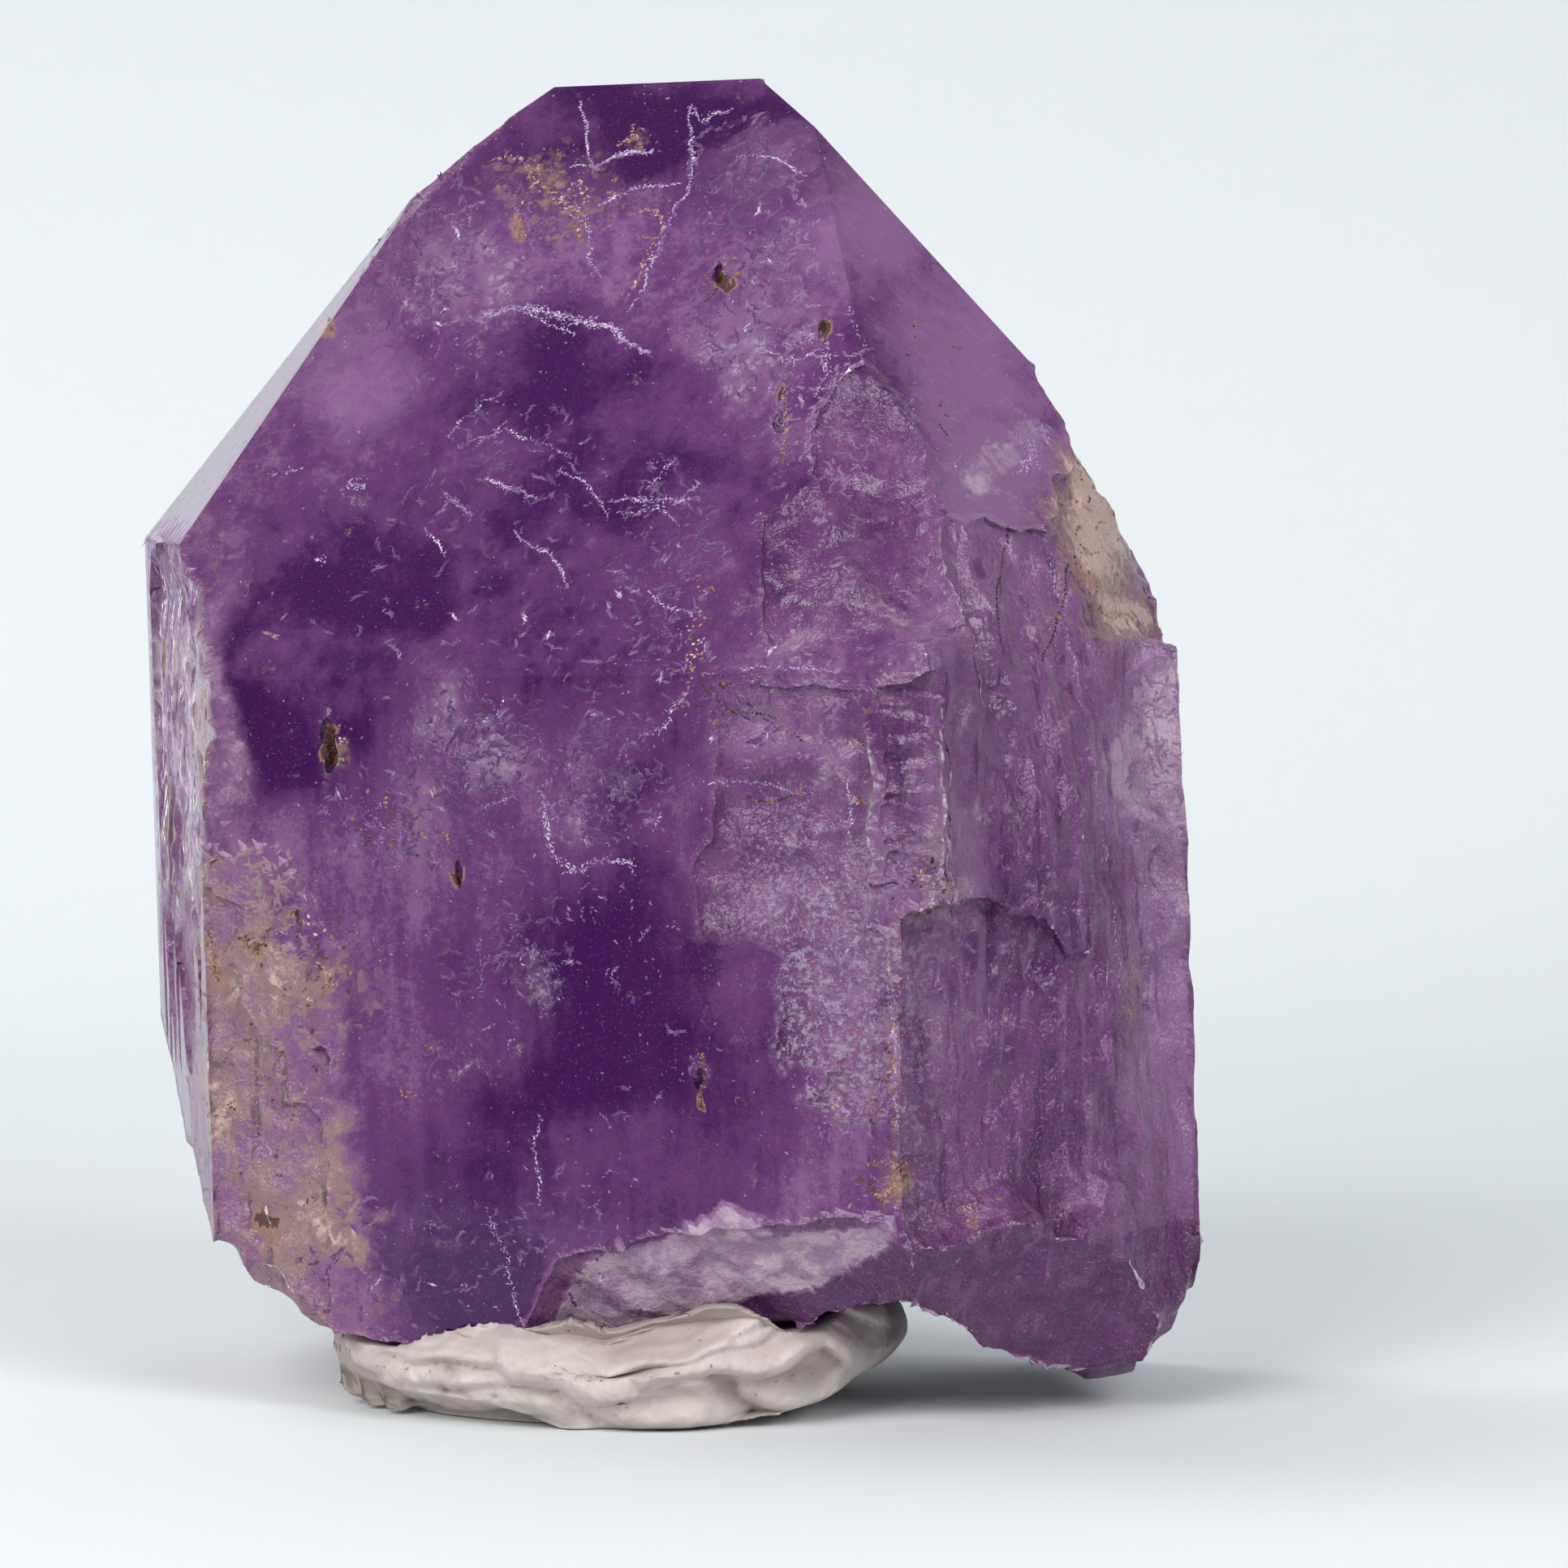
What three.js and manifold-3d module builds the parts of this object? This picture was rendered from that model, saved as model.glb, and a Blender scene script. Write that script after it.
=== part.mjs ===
// An amethyst crystal that stands in a pad of mounting putty.
// Sizes are in millimetres, +Z is up and -Y is the front, with the large glossy face.
// The origin is the middle of the underside of the whole piece.

import * as THREE from 'three';
import { ConvexGeometry } from 'three/addons/geometries/ConvexGeometry.js';
import { mergeVertices } from 'three/addons/utils/BufferGeometryUtils.js';
import Module from 'manifold-3d';

// Driving dimensions of the crystal as it grew.
// Every growth face is measured from the heart, a point inside the prism.
const HEART_HEIGHT = 39.4;
const AXIS_LEAN = 1.6; // degrees, the long axis leans to the left
const ROOF_TILT = 38.2; // degrees from the horizontal to a pyramid face's normal, as in all quartz

// Turn is the way a side faces, in degrees to the right of straight ahead.
// Wall is the prism face's distance from the heart, and roof the pyramid face's above it.
const SIDES = {
  left: { turn: -79, wall: 38.3, roof: 40.4 },
  front: { turn: -19, wall: 21.9, roof: 22.3 },
  rightFront: { turn: 41, wall: 25.9, roof: 25.4 },
  right: { turn: 101, wall: 23.5, roof: 29.4 },
  back: { turn: 161, wall: 18.3, roof: 34.5 },
  backLeft: { turn: 221, wall: 42, roof: 43.3 },
};

// The underside follows a profile from left to right: x, then height over the table.
const UNDERSIDE = [
  [-46, 28], [-41.8, 20], [-39.6, 16.2], [-38, 14.6], [-37.2, 12.2], [-35.4, 9.8], [-32.8, 7.3],
  [-28.6, 5.2],
  [-20, 4.9], [-13, 5.0], [-5, 5.4], [2, 6.6], [7.5, 8.6], [10, 7.7], [13.7, 4.8], [18, 1.5], [22, 2.1],
  [24.5, 4.6], [26.5, 9], [30, 17],
];
const UNDERSIDE_ROUGHNESS = 1.1;
const UNDERSIDE_RISE_AT_BACK = 3.5;
const BASE_MIDDLE = -8.5;

// Driving dimensions of the putty pad
const PUTTY_CENTRE = new THREE.Vector3(-10.2, -3.3, 0);
const PUTTY_TURN = -14;
const PUTTY_HALF_LENGTH = 17.9;
const PUTTY_HALF_WIDTH = 16.8;
const PUTTY_HEIGHT = 9.6;
const PUTTY_WAIST = 0.42; // height of the widest part, as a share of the whole
const PUTTY_SQUARENESS = 2.5;
const PUTTY_LIFT = 3.4;
const PUTTY_UNDERCUT = 3.2;
const PUTTY_CLEARANCE = 0.35;

const wasm = await Module();
wasm.setup();

// A closed geometry as a solid that can be cut and joined
function solidOf(geometry) {
  geometry.deleteAttribute('normal');
  geometry.deleteAttribute('uv');
  const merged = mergeVertices(geometry, 1e-4);
  const vertProperties = merged.attributes.position.array;
  const triVerts = new Uint32Array(merged.index.array);
  return new wasm.Manifold(new wasm.Mesh({ numProp: 3, vertProperties, triVerts }));
}

// The unit vector that a face looks along, from its turn and its upward tip in degrees
function outward(turn, tip) {
  const turned = THREE.MathUtils.degToRad(turn);
  const tipped = THREE.MathUtils.degToRad(tip);
  const level = Math.cos(tipped);
  return new THREE.Vector3(level * Math.sin(turned), -level * Math.cos(turned), Math.sin(tipped));
}

// A repeatable random number from -1 to 1 for a place on a grid
function chance(column, row, seed) {
  const wave = Math.sin(column * 127.1 + row * 311.7 + seed * 74.7) * 43758.5453;
  return 2 * (wave - Math.floor(wave)) - 1;
}

// Smooth random relief from -1 to 1, with bumps about one unit across
function relief(u, v, seed) {
  const column = Math.floor(u);
  const row = Math.floor(v);
  const across = THREE.MathUtils.smoothstep(u - column, 0, 1);
  const along = THREE.MathUtils.smoothstep(v - row, 0, 1);
  const { lerp } = THREE.MathUtils;
  const low = lerp(chance(column, row, seed), chance(column + 1, row, seed), across);
  const high = lerp(chance(column, row + 1, seed), chance(column + 1, row + 1, seed), across);
  return lerp(low, high, along);
}

// The block of stone that came away and left a broken face behind.
// at: the middle of the face, turn and tip: the way it looks, roll: its slant to the left.
// reach: half its width and half its height, wander: how unevenly its sides and its ends run,
// steep: how steeply it climbs out past its outline, cell: the size of its facets,
// surface(u, v): how far the face that is left stands out at a place u to the right and v up.
function lostBlock({
  at, turn, tip, roll = 0, reach, wander = [0.9, 0.9], steep = 1.4, margin = 3, cell, depth = 9, surface,
}) {
  const width = 2 * (reach[0] + margin);
  const height = 2 * (reach[1] + margin);
  const columns = Math.round(width / (Array.isArray(cell) ? cell[0] : cell));
  const rows = Math.round(height / (Array.isArray(cell) ? cell[1] : cell));
  const block = new THREE.BoxGeometry(width, height, depth, columns, rows, 1);
  block.translate(0, 0, depth / 2);
  const points = block.attributes.position;
  for (let i = 0; i < points.count; i += 1) {
    if (points.getZ(i) > depth / 2) continue;
    const u = points.getX(i);
    const v = points.getY(i);
    const pastSide = Math.max(0, Math.abs(u) - reach[0] + wander[0] * relief(v / 3, u / 9, reach[1]));
    const pastEnd = Math.max(0, Math.abs(v) - reach[1] + wander[1] * relief(u / 3, v / 9, reach[0]));
    const climb = steep * Math.hypot(pastSide, pastEnd);
    points.setZ(i, Math.min(surface(u, v) + climb, 0.9 * depth));
  }
  block.rotateZ(THREE.MathUtils.degToRad(roll));
  const facing = outward(turn, tip);
  const sideways = outward(turn + 90, 0);
  const upward = new THREE.Vector3().crossVectors(facing, sideways);
  block.applyMatrix4(new THREE.Matrix4().makeBasis(sideways, upward, facing));
  block.translate(...at);
  return solidOf(block);
}

// A hackly break, rough at two scales
function hackly(rise, pitch, seed) {
  const coarse = (u, v) => relief(u / pitch, v / pitch, seed);
  const fine = (u, v) => relief(2.3 * u / pitch, 2.3 * v / pitch, seed + 1);
  return (u, v) => rise * (coarse(u, v) + 0.45 * fine(u, v));
}

// Long upright flutes that wander a little
function fluted(rise, pitch, seed) {
  const coarse = (u, v) => relief(u / pitch, v / (6 * pitch), seed);
  const fine = (u, v) => relief(2 * u / pitch, v / (3 * pitch), seed + 1);
  return (u, v) => rise * (coarse(u, v) + 0.4 * fine(u, v));
}

// Level ripples that wander a little, each with a steep side and a gentle one
function rippled(rise, pitch, seed) {
  return (u, v) => {
    const place = v / pitch + 0.35 * relief(u, v / pitch, seed);
    return rise * (place - Math.floor(place) - 0.5);
  };
}

// The heart of the crystal and its leaning axis
const heart = new THREE.Vector3(0, 0, HEART_HEIGHT);
const lean = new THREE.Matrix4().makeRotationY(THREE.MathUtils.degToRad(-AXIS_LEAN));

// The plane of one growth face, in the leaning frame of the crystal
function growthPlane(side, isRoof) {
  const normal = outward(side.turn, isRoof ? ROOF_TILT : 0).transformDirection(lean);
  const onFace = heart.clone().addScaledVector(normal, isRoof ? side.roof : side.wall);
  return new THREE.Plane().setFromNormalAndCoplanarPoint(normal, onFace);
}

// The point where three planes meet, if they do
function meetingPoint(a, b, c) {
  const matrix = new THREE.Matrix3().set(...a.normal, ...b.normal, ...c.normal);
  if (Math.abs(matrix.determinant()) < 1e-6) return null;
  return new THREE.Vector3(-a.constant, -b.constant, -c.constant).applyMatrix3(matrix.invert());
}

// The convex solid that a set of planes bounds
function solidInside(planes) {
  const corners = [];
  for (let i = 0; i < planes.length; i += 1) {
    for (let j = i + 1; j < planes.length; j += 1) {
      for (let k = j + 1; k < planes.length; k += 1) {
        const corner = meetingPoint(planes[i], planes[j], planes[k]);
        if (corner && planes.every((plane) => plane.distanceToPoint(corner) < 1e-5)) corners.push(corner);
      }
    }
  }
  return solidOf(new ConvexGeometry(corners));
}

function grownCrystal() {
  const planes = [];
  for (const side of Object.values(SIDES)) {
    planes.push(growthPlane(side, false), growthPlane(side, true));
  }
  planes.push(new THREE.Plane(new THREE.Vector3(0, 0, -1), 0));
  // Two small facets bevel the upper left corner.
  const bevels = [
    { at: [-23.1, 7.1, 79.9], turn: -38, tip: 42 },
    { at: [-16.4, 11.6, 83.9], turn: -62, tip: 48 },
  ];
  for (const { at, turn, tip } of bevels) {
    const onBevel = new THREE.Vector3(...at);
    planes.push(new THREE.Plane().setFromNormalAndCoplanarPoint(outward(turn, tip), onBevel));
  }
  return solidInside(planes);
}

// The height of the underside over the table at a distance from left to right
function undersideHeight(x) {
  const next = UNDERSIDE.findIndex(([place]) => place > x);
  const [x0, z0] = UNDERSIDE[next - 1];
  const [x1, z1] = UNDERSIDE[next];
  return THREE.MathUtils.lerp(z0, z1, (x - x0) / (x1 - x0));
}

// The broken base: everything under the underside is lost.
function lostBase() {
  const surface = (u, v) => {
    const x = -u + BASE_MIDDLE;
    const behind = THREE.MathUtils.clamp((v + 10) / 40, 0, 1);
    const rough = relief(x / 6, v / 6, 1) + 0.5 * relief(x / 2.6, v / 2.6, 2);
    return -undersideHeight(x) - UNDERSIDE_RISE_AT_BACK * behind * behind - UNDERSIDE_ROUGHNESS * rough;
  };
  const underneath = { at: [BASE_MIDDLE, 0, 0], turn: 180, tip: -90, reach: [37, 35], margin: 0, steep: 0 };
  return lostBlock({ ...underneath, cell: 3, depth: 30, surface });
}

// The ledges of the front block step back towards its foot.
function ledges(u, v) {
  const slant = v + 0.12 * u + 0.5 * relief(u / 2.5, 0.5, 30);
  const step = slant > 4.6 ? 0 : slant > 0.6 ? 0.35 : 0.75;
  return -0.1 - step + 0.12 * relief(u / 2, v / 2, 31);
}

// A growth layer that is missing from the front pyramid face runs out to nothing at its top.
function missingLayer(u, v) {
  return -0.8 * THREE.MathUtils.clamp((9 - v) / 14, 0, 1);
}

// A scooped, shell-like scar is deepest in its middle.
function scooped(sink, across, up, seed) {
  return (u, v) => {
    const hollow = 1 - (u * u) / (across * across) - (v * v) / (up * up);
    return -sink * hollow + 0.3 * relief(u / 2.2, v / 2.2, seed);
  };
}

const BROKEN_FACES = [
  // The stained scar on the right shoulder, in two facets, and the frosty band below it
  { at: [17.8, -10, 56], turn: 62, tip: 22, reach: [12, 7.5], cell: 2, surface: hackly(0.6, 3, 3) },
  { at: [21.6, -1, 56.4], turn: 92, tip: 29, reach: [14, 11], cell: 2.8, surface: hackly(0.5, 4, 4) },
  { at: [18.7, -18, 34], turn: 65, tip: 5, reach: [10, 36],
    cell: [2.2, 2.8], surface: hackly(0.32, 3.2, 5) },
  // The right front shoulder came off in one long scoop, with bark-like flutes under it
  { at: [17.2, -14.6, 46], turn: 44, tip: 20, reach: [7.6, 12], wander: [0.5, 2], steep: 2.5,
    cell: 1.6, surface: fluted(0.45, 2, 7) },
  { at: [16.3, -19.0, 37], turn: 40, tip: 2, reach: [8, 15], wander: [0.4, 2], steep: 2,
    cell: [1.4, 2.8], surface: fluted(0.35, 1.8, 9) },
  // The ridge between the two front pyramid faces is worn off low down
  { at: [6.3, -16.3, 56.6], turn: 9, tip: 43, roll: 10, reach: [3, 8.5], steep: 0.5,
    cell: 1.8, surface: scooped(0.5, 4, 11, 11) },
  // The front growth layer that stops short, to the right of the middle
  { at: [1.9, -16.9, 56.8], turn: -19, tip: 38.2, roll: 15,
    reach: [4.6, 9.6], wander: [0.3, 0.8], steep: 3, margin: 1.2, cell: 2.4, surface: missingLayer },
  // Level ripples on the narrow strip beside the prism edge
  { at: [7.6, -25.1, 40.8], turn: 1, tip: 0, reach: [1.9, 6.6], wander: [0.35, 0.6], steep: 3,
    margin: 0.7, cell: [1.1, 0.38], surface: rippled(0.6, 1.35, 13) },
  // The smooth recess to the right of the stained contact line
  { at: [14.8, -18.8, 22.8], turn: 33, tip: 0,
    reach: [9.4, 9], wander: [0.4, 2.2], steep: 2.2, margin: 1.5, cell: 1.9, surface: hackly(0.25, 3, 15) },
  // The ledges, and the shallow dish at their foot
  { at: [0.4, -23.3, 40.4], turn: -19, tip: 0,
    reach: [5.2, 7], wander: [0.9, 0.6], steep: 2.5, margin: 1, cell: [1.5, 0.95], surface: ledges },
  { at: [-1.6, -22.1, 33.6], turn: -17, tip: 10, reach: [3.6, 2.6], wander: [0.8, 0.8], margin: 1,
    cell: 1.1, surface: scooped(0.5, 4.4, 3.4, 17) },
  // The sparkling granular patch on the front
  { at: [3.2, -23.9, 27.4], turn: -18, tip: 0, reach: [3.6, 7.4], margin: 0.8,
    cell: 1.05, surface: hackly(0.4, 1.5, 19) },
  // The pale scar along the front of the base, the dark one to its right and the broken left corner
  { at: [-3.6, -19.6, 9.4], turn: -12, tip: -36, reach: [11, 6], wander: [1.2, 1.2],
    cell: 1.8, surface: scooped(0.7, 14, 9, 21) },
  { at: [14.5, -19.8, 9.6], turn: 30, tip: -33, reach: [10, 8], wander: [0.9, 1.6],
    cell: 2.1, surface: hackly(0.6, 3, 23) },
  { at: [-33.2, -12.2, 9.6], turn: -48, tip: -36, reach: [8, 8],
    cell: 2.1, surface: hackly(0.7, 3.2, 25) },
  // The lumpy brown corner, the flaky left wall and a scar low on the back
  { at: [-33.2, -11.5, 21], turn: -21, tip: -1, reach: [4.6, 14],
    cell: 1.5, surface: hackly(0.42, 2.6, 27) },
  { at: [-39.0, 2, 36], turn: -79, tip: 0, reach: [13, 16], wander: [0.9, 2], steep: 0.5,
    cell: [1.4, 3.4], surface: fluted(0.28, 1.5, 29) },
  { at: [4, 18.8, 14], turn: 164, tip: -18, reach: [14, 10],
    cell: 2.8, surface: scooped(1.2, 17, 13, 33) },
];

// Small pits on the front: place and size
const PITS = [
  [-4.2, -1.4, 72.2, 0.8], [2.5, -6.7, 68.8, 0.6], [-0.1, -10.6, 62.9, 0.7],
  [-28.6, -13.3, 43.3, 0.8], [-28.5, -13.4, 41.8, 0.7], [4.4, -24.7, 43.5, 0.6], [4.4, -24.7, 40, 0.6],
  [-20.4, -16.1, 34.8, 0.6], [-5.1, -21.3, 22.4, 0.6],
];

function pit([x, y, z, size], index) {
  const stone = new THREE.IcosahedronGeometry(size, 0);
  stone.rotateZ(index);
  stone.scale(1, 1, 1.5);
  stone.translate(x, y, z);
  return solidOf(stone);
}

function brokenCrystal() {
  let crystal = grownCrystal().subtract(lostBase());
  for (const face of BROKEN_FACES) crystal = crystal.subtract(lostBlock(face));
  PITS.forEach((place, index) => {
    crystal = crystal.subtract(pit(place, index));
  });
  return crystal;
}

// The triangles of a solid, as a geometry
function geometryOf(solid) {
  const { numProp, vertProperties, triVerts } = solid.getMesh();
  const geometry = new THREE.BufferGeometry();
  geometry.setAttribute('position', new THREE.BufferAttribute(new Float32Array(vertProperties), numProp));
  geometry.setIndex(new THREE.BufferAttribute(new Uint32Array(triVerts), 1));
  return geometry;
}

// A point of the pad's bulging side, for a turn to the right of its front and a height.
// The pad is a rounded box from above, and its right end hangs clear of the table.
function puttySide(turn, height, sunk) {
  const right = Math.sin(turn);
  const front = Math.cos(turn);
  const across = Math.abs(right) / PUTTY_HALF_LENGTH;
  const along = Math.abs(front) / PUTTY_HALF_WIDTH;
  const outline = (across ** PUTTY_SQUARENESS + along ** PUTTY_SQUARENESS) ** (-1 / PUTTY_SQUARENESS);
  const level = (height / PUTTY_HEIGHT - PUTTY_WAIST) / (1 - PUTTY_WAIST);
  const bulge = Math.max(0, 1 - level * level) ** 0.32;
  const undercut = right * PUTTY_UNDERCUT * THREE.MathUtils.clamp(1 - height / PUTTY_LIFT, 0, 1);
  const reach = outline * bulge - sunk - Math.max(0, undercut);
  return new THREE.Vector3(reach * right, -reach * front, height);
}

// The squeezed lump at the heart of the pad, with a bulging side
function puttyLump() {
  const lump = new THREE.SphereGeometry(1, 44, 12);
  lump.rotateX(Math.PI / 2);
  const points = lump.attributes.position;
  for (let i = 0; i < points.count; i += 1) {
    const rise = points.getZ(i);
    const turn = Math.atan2(points.getX(i), -points.getY(i));
    const isPole = Math.abs(rise) > 0.999;
    const bump = isPole ? 0 : 0.35 * relief(2 * Math.sin(turn), 2 * Math.cos(turn) + 2 * rise, 41);
    const height = PUTTY_HEIGHT * (PUTTY_WAIST + (1 - PUTTY_WAIST) * rise);
    const place = puttySide(turn, height, bump);
    points.setXYZ(i, isPole ? 0 : place.x, isPole ? 0 : place.y, place.z);
  }
  return lump;
}

// Rolled folds along the front of the pad: turn in degrees and height along each, and its thickness.
// The first is the long lip that dives to the table, the next two are the loops to its right,
// and the last is the foot, which climbs to the right.
const PUTTY_FOLDS = [
  {
    radius: 1.9,
    along: [[-140, 4], [-110, 3.9], [-75, 3.8], [-45, 3.6], [-22, 3.4], [-8, 2.7], [4, 1.3], [12, 0.2]],
  },
  { radius: 1.7, along: [[-30, 4.6], [-8, 4.9], [14, 5.6], [36, 6.5], [56, 6.5], [78, 5.8], [104, 5]] },
  { radius: 1.6, along: [[-12, 3], [6, 3.2], [24, 4], [42, 4.7], [62, 4.6], [84, 4.2]] },
  { radius: 1.7, along: [[0, 1], [18, 1.3], [38, 1.9], [58, 2.8], [80, 3.4]] },
];

// Crumbs of putty at the left foot of the pad: turn, height and size
const PUTTY_CRUMBS = [[-62, 1.8, 1.6], [-54, 1.4, 1.4], [-45, 1.3, 1.3]];

// A fold rides half sunk in the side of the pad, and both its ends run into it.
function puttyFold({ radius, along }) {
  const places = along.map(([turn, height], index) => {
    const isEnd = index === 0 || index === along.length - 1;
    return puttySide(THREE.MathUtils.degToRad(turn), height, (isEnd ? 1.7 : 0.55) * radius);
  });
  const section = new THREE.Shape();
  section.absarc(0, 0, radius, 0, 2 * Math.PI);
  const extrudePath = new THREE.CatmullRomCurve3(places);
  const steps = 4 * along.length;
  return new THREE.ExtrudeGeometry(section, { extrudePath, steps, curveSegments: 4, bevelEnabled: false });
}

function puttyCrumb([turn, height, size]) {
  const crumb = new THREE.IcosahedronGeometry(size, 1);
  crumb.rotateY(turn);
  crumb.translate(...puttySide(THREE.MathUtils.degToRad(turn), height, 0.3));
  return crumb;
}

// The pad is pressed up against the broken base, a hair's breadth clear of it.
function puttyPad(crystal) {
  const shapes = [puttyLump(), ...PUTTY_FOLDS.map(puttyFold), ...PUTTY_CRUMBS.map(puttyCrumb)];
  const solids = shapes.map((shape) => {
    shape.rotateZ(THREE.MathUtils.degToRad(PUTTY_TURN));
    shape.translate(...PUTTY_CENTRE);
    return solidOf(shape);
  });
  const lumpy = solids.reduce((pad, solid) => pad.add(solid));
  const table = new THREE.BoxGeometry(90, 90, 20);
  table.translate(0, 0, -10);
  const clearOfCrystal = geometryOf(crystal);
  clearOfCrystal.translate(-PUTTY_CENTRE.x, -PUTTY_CENTRE.y, -PUTTY_CLEARANCE);
  clearOfCrystal.scale(1.015, 1.015, 1);
  clearOfCrystal.translate(PUTTY_CENTRE.x, PUTTY_CENTRE.y, 0);
  return lumpy.subtract(solidOf(table)).subtract(solidOf(clearOfCrystal));
}

function meshOf(solid, name, material) {
  const geometry = geometryOf(solid);
  geometry.computeVertexNormals();
  const mesh = new THREE.Mesh(geometry, material);
  mesh.name = name;
  return mesh;
}

const amethyst = new THREE.MeshStandardMaterial({ color: 0x6b4a83, roughness: 0.15, metalness: 0 });
const putty = new THREE.MeshStandardMaterial({ color: 0xc8beb6, roughness: 0.75, metalness: 0 });

const crystal = brokenCrystal();
const specimen = new THREE.Group();
specimen.add(meshOf(crystal, 'crystal', amethyst), meshOf(puttyPad(crystal), 'mounting_putty', putty));

// The whole piece is moved so that the origin is the middle of its underside.
const bounds = new THREE.Box3().setFromObject(specimen);
const middle = bounds.getCenter(new THREE.Vector3());
specimen.position.set(-middle.x, -middle.y, -bounds.min.z);

export default specimen;
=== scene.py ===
"""An amethyst crystal that stands in a pad of mounting putty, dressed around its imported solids.
Lengths are in metres, +Z is up and -Y is the front, with the large glossy face."""

import math
import random

import bmesh
import bpy
import numpy as np
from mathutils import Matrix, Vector, noise
from mathutils.bvhtree import BVHTree
from mathutils.geometry import delaunay_2d_cdt
from mathutils.kdtree import KDTree


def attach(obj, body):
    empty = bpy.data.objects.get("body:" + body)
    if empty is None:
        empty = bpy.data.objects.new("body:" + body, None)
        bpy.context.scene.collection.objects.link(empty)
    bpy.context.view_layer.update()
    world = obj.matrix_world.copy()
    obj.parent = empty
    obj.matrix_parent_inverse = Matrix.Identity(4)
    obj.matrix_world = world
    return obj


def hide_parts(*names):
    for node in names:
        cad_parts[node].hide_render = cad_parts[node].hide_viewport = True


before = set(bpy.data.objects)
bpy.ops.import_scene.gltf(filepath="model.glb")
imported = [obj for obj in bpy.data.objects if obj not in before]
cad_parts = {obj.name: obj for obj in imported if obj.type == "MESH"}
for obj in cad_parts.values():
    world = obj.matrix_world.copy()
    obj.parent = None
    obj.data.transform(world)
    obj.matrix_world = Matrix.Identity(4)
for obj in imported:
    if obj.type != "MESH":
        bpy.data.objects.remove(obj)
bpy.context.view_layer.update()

# The table, the lamps and the camera.
# A seamless sheet of pale paper runs under the crystal and curves up behind it. One broad lamp
# hangs at the upper left, a weaker one fills from the right, and the camera looks down a little.
MM = 0.001
HEART = Vector((8.26, -1.66, 39.4)) * MM  # the camera and the lamps aim here
CAMERA_DISTANCE = 450 * MM
CAMERA_DOWN = math.radians(3.5)
CAMERA_NEAR_LIMIT = 10 * MM
LENS = 159.3
SENSOR = 36.0
PAPER_TINT = (0.80, 0.835, 0.85, 1)
PAPER_ROUGHNESS = 0.9
PAPER_FRONT = -90 * MM
PAPER_BEND = 200 * MM
PAPER_BEND_RADIUS = 100 * MM
PAPER_HALF_WIDTH = 330 * MM
PAPER_TOP = 700 * MM
# Each lamp's name, place and breadth in metres, power in watts and tint.
SOFTBOXES = [("key_softbox", (-0.34, -0.56, 0.42), 0.50, 4.3, (1.0, 0.985, 0.97)),
             ("fill_softbox", (0.40, -0.55, 0.42), 0.42, 3.3, (0.97, 0.985, 1.0)),
             ("top_softbox", (-0.36, 0.24, 0.60), 0.36, 1.6, (0.97, 0.985, 1.0))]
STUDIO_TINT = (0.86, 0.90, 0.92, 1)
# The studio dims along each axis from one value to another: axis, from, to, brightness at each.
STUDIO_DIMMERS = [("Y", -0.75, -0.05, 0.10, 0.80), ("Z", 0.40, 0.80, 1.0, 0.25),
                  ("X", 0.40, 0.90, 1.0, 0.30)]

looking = Vector((0, math.cos(CAMERA_DOWN), -math.sin(CAMERA_DOWN)))
camera_data = bpy.data.cameras.new("camera")
camera_data.lens = LENS
camera_data.sensor_width = SENSOR
camera_data.clip_start = CAMERA_NEAR_LIMIT
camera = bpy.data.objects.new("camera", camera_data)
camera.location = HEART - CAMERA_DISTANCE * looking
camera.rotation_euler = (math.radians(90) - CAMERA_DOWN, 0, 0)
bpy.context.scene.collection.objects.link(camera)
bpy.context.scene.camera = camera
bpy.context.scene.view_settings.view_transform = "Standard"
# Light that turned round this often inside the stone is too weak to see.
for kind, most in (("max", 6), ("transmission", 4), ("glossy", 3), ("diffuse", 3)):
    setattr(bpy.context.scene.cycles, kind + "_bounces", most)


def add_object(name, mesh):
    made = bpy.data.objects.new(name, mesh)
    bpy.context.scene.collection.objects.link(made)
    return made


def paper_sheet():
    """The paper: flat under the crystal, then a quarter of a circle and up."""
    bend = [math.radians(a) for a in range(0, 91, 6)]
    line = [(PAPER_FRONT, 0.0)]
    for a in bend:
        away = PAPER_BEND + PAPER_BEND_RADIUS * math.sin(a)
        line.append((away, PAPER_BEND_RADIUS * (1 - math.cos(a))))
    line.append((PAPER_BEND + PAPER_BEND_RADIUS, PAPER_TOP))
    points = [(side, y, z) for y, z in line for side in (-PAPER_HALF_WIDTH, PAPER_HALF_WIDTH)]
    faces = [(2 * i, 2 * i + 1, 2 * i + 3, 2 * i + 2) for i in range(len(line) - 1)]
    mesh = bpy.data.meshes.new("paper")
    mesh.from_pydata(points, [], faces)
    mesh.shade_smooth()
    return add_object("paper", mesh)


def new_material(name):
    """A plain material, its node tree and its principled shader."""
    material = bpy.data.materials.new(name)
    material.use_nodes = True
    tree = material.node_tree
    shader = next(n for n in tree.nodes if n.type == "BSDF_PRINCIPLED")
    return material, tree, shader


paper = paper_sheet()
paper_material, paper_tree, paper_shader = new_material("paper")
paper_shader.inputs["Base Color"].default_value = PAPER_TINT
paper_shader.inputs["Roughness"].default_value = PAPER_ROUGHNESS
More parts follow.
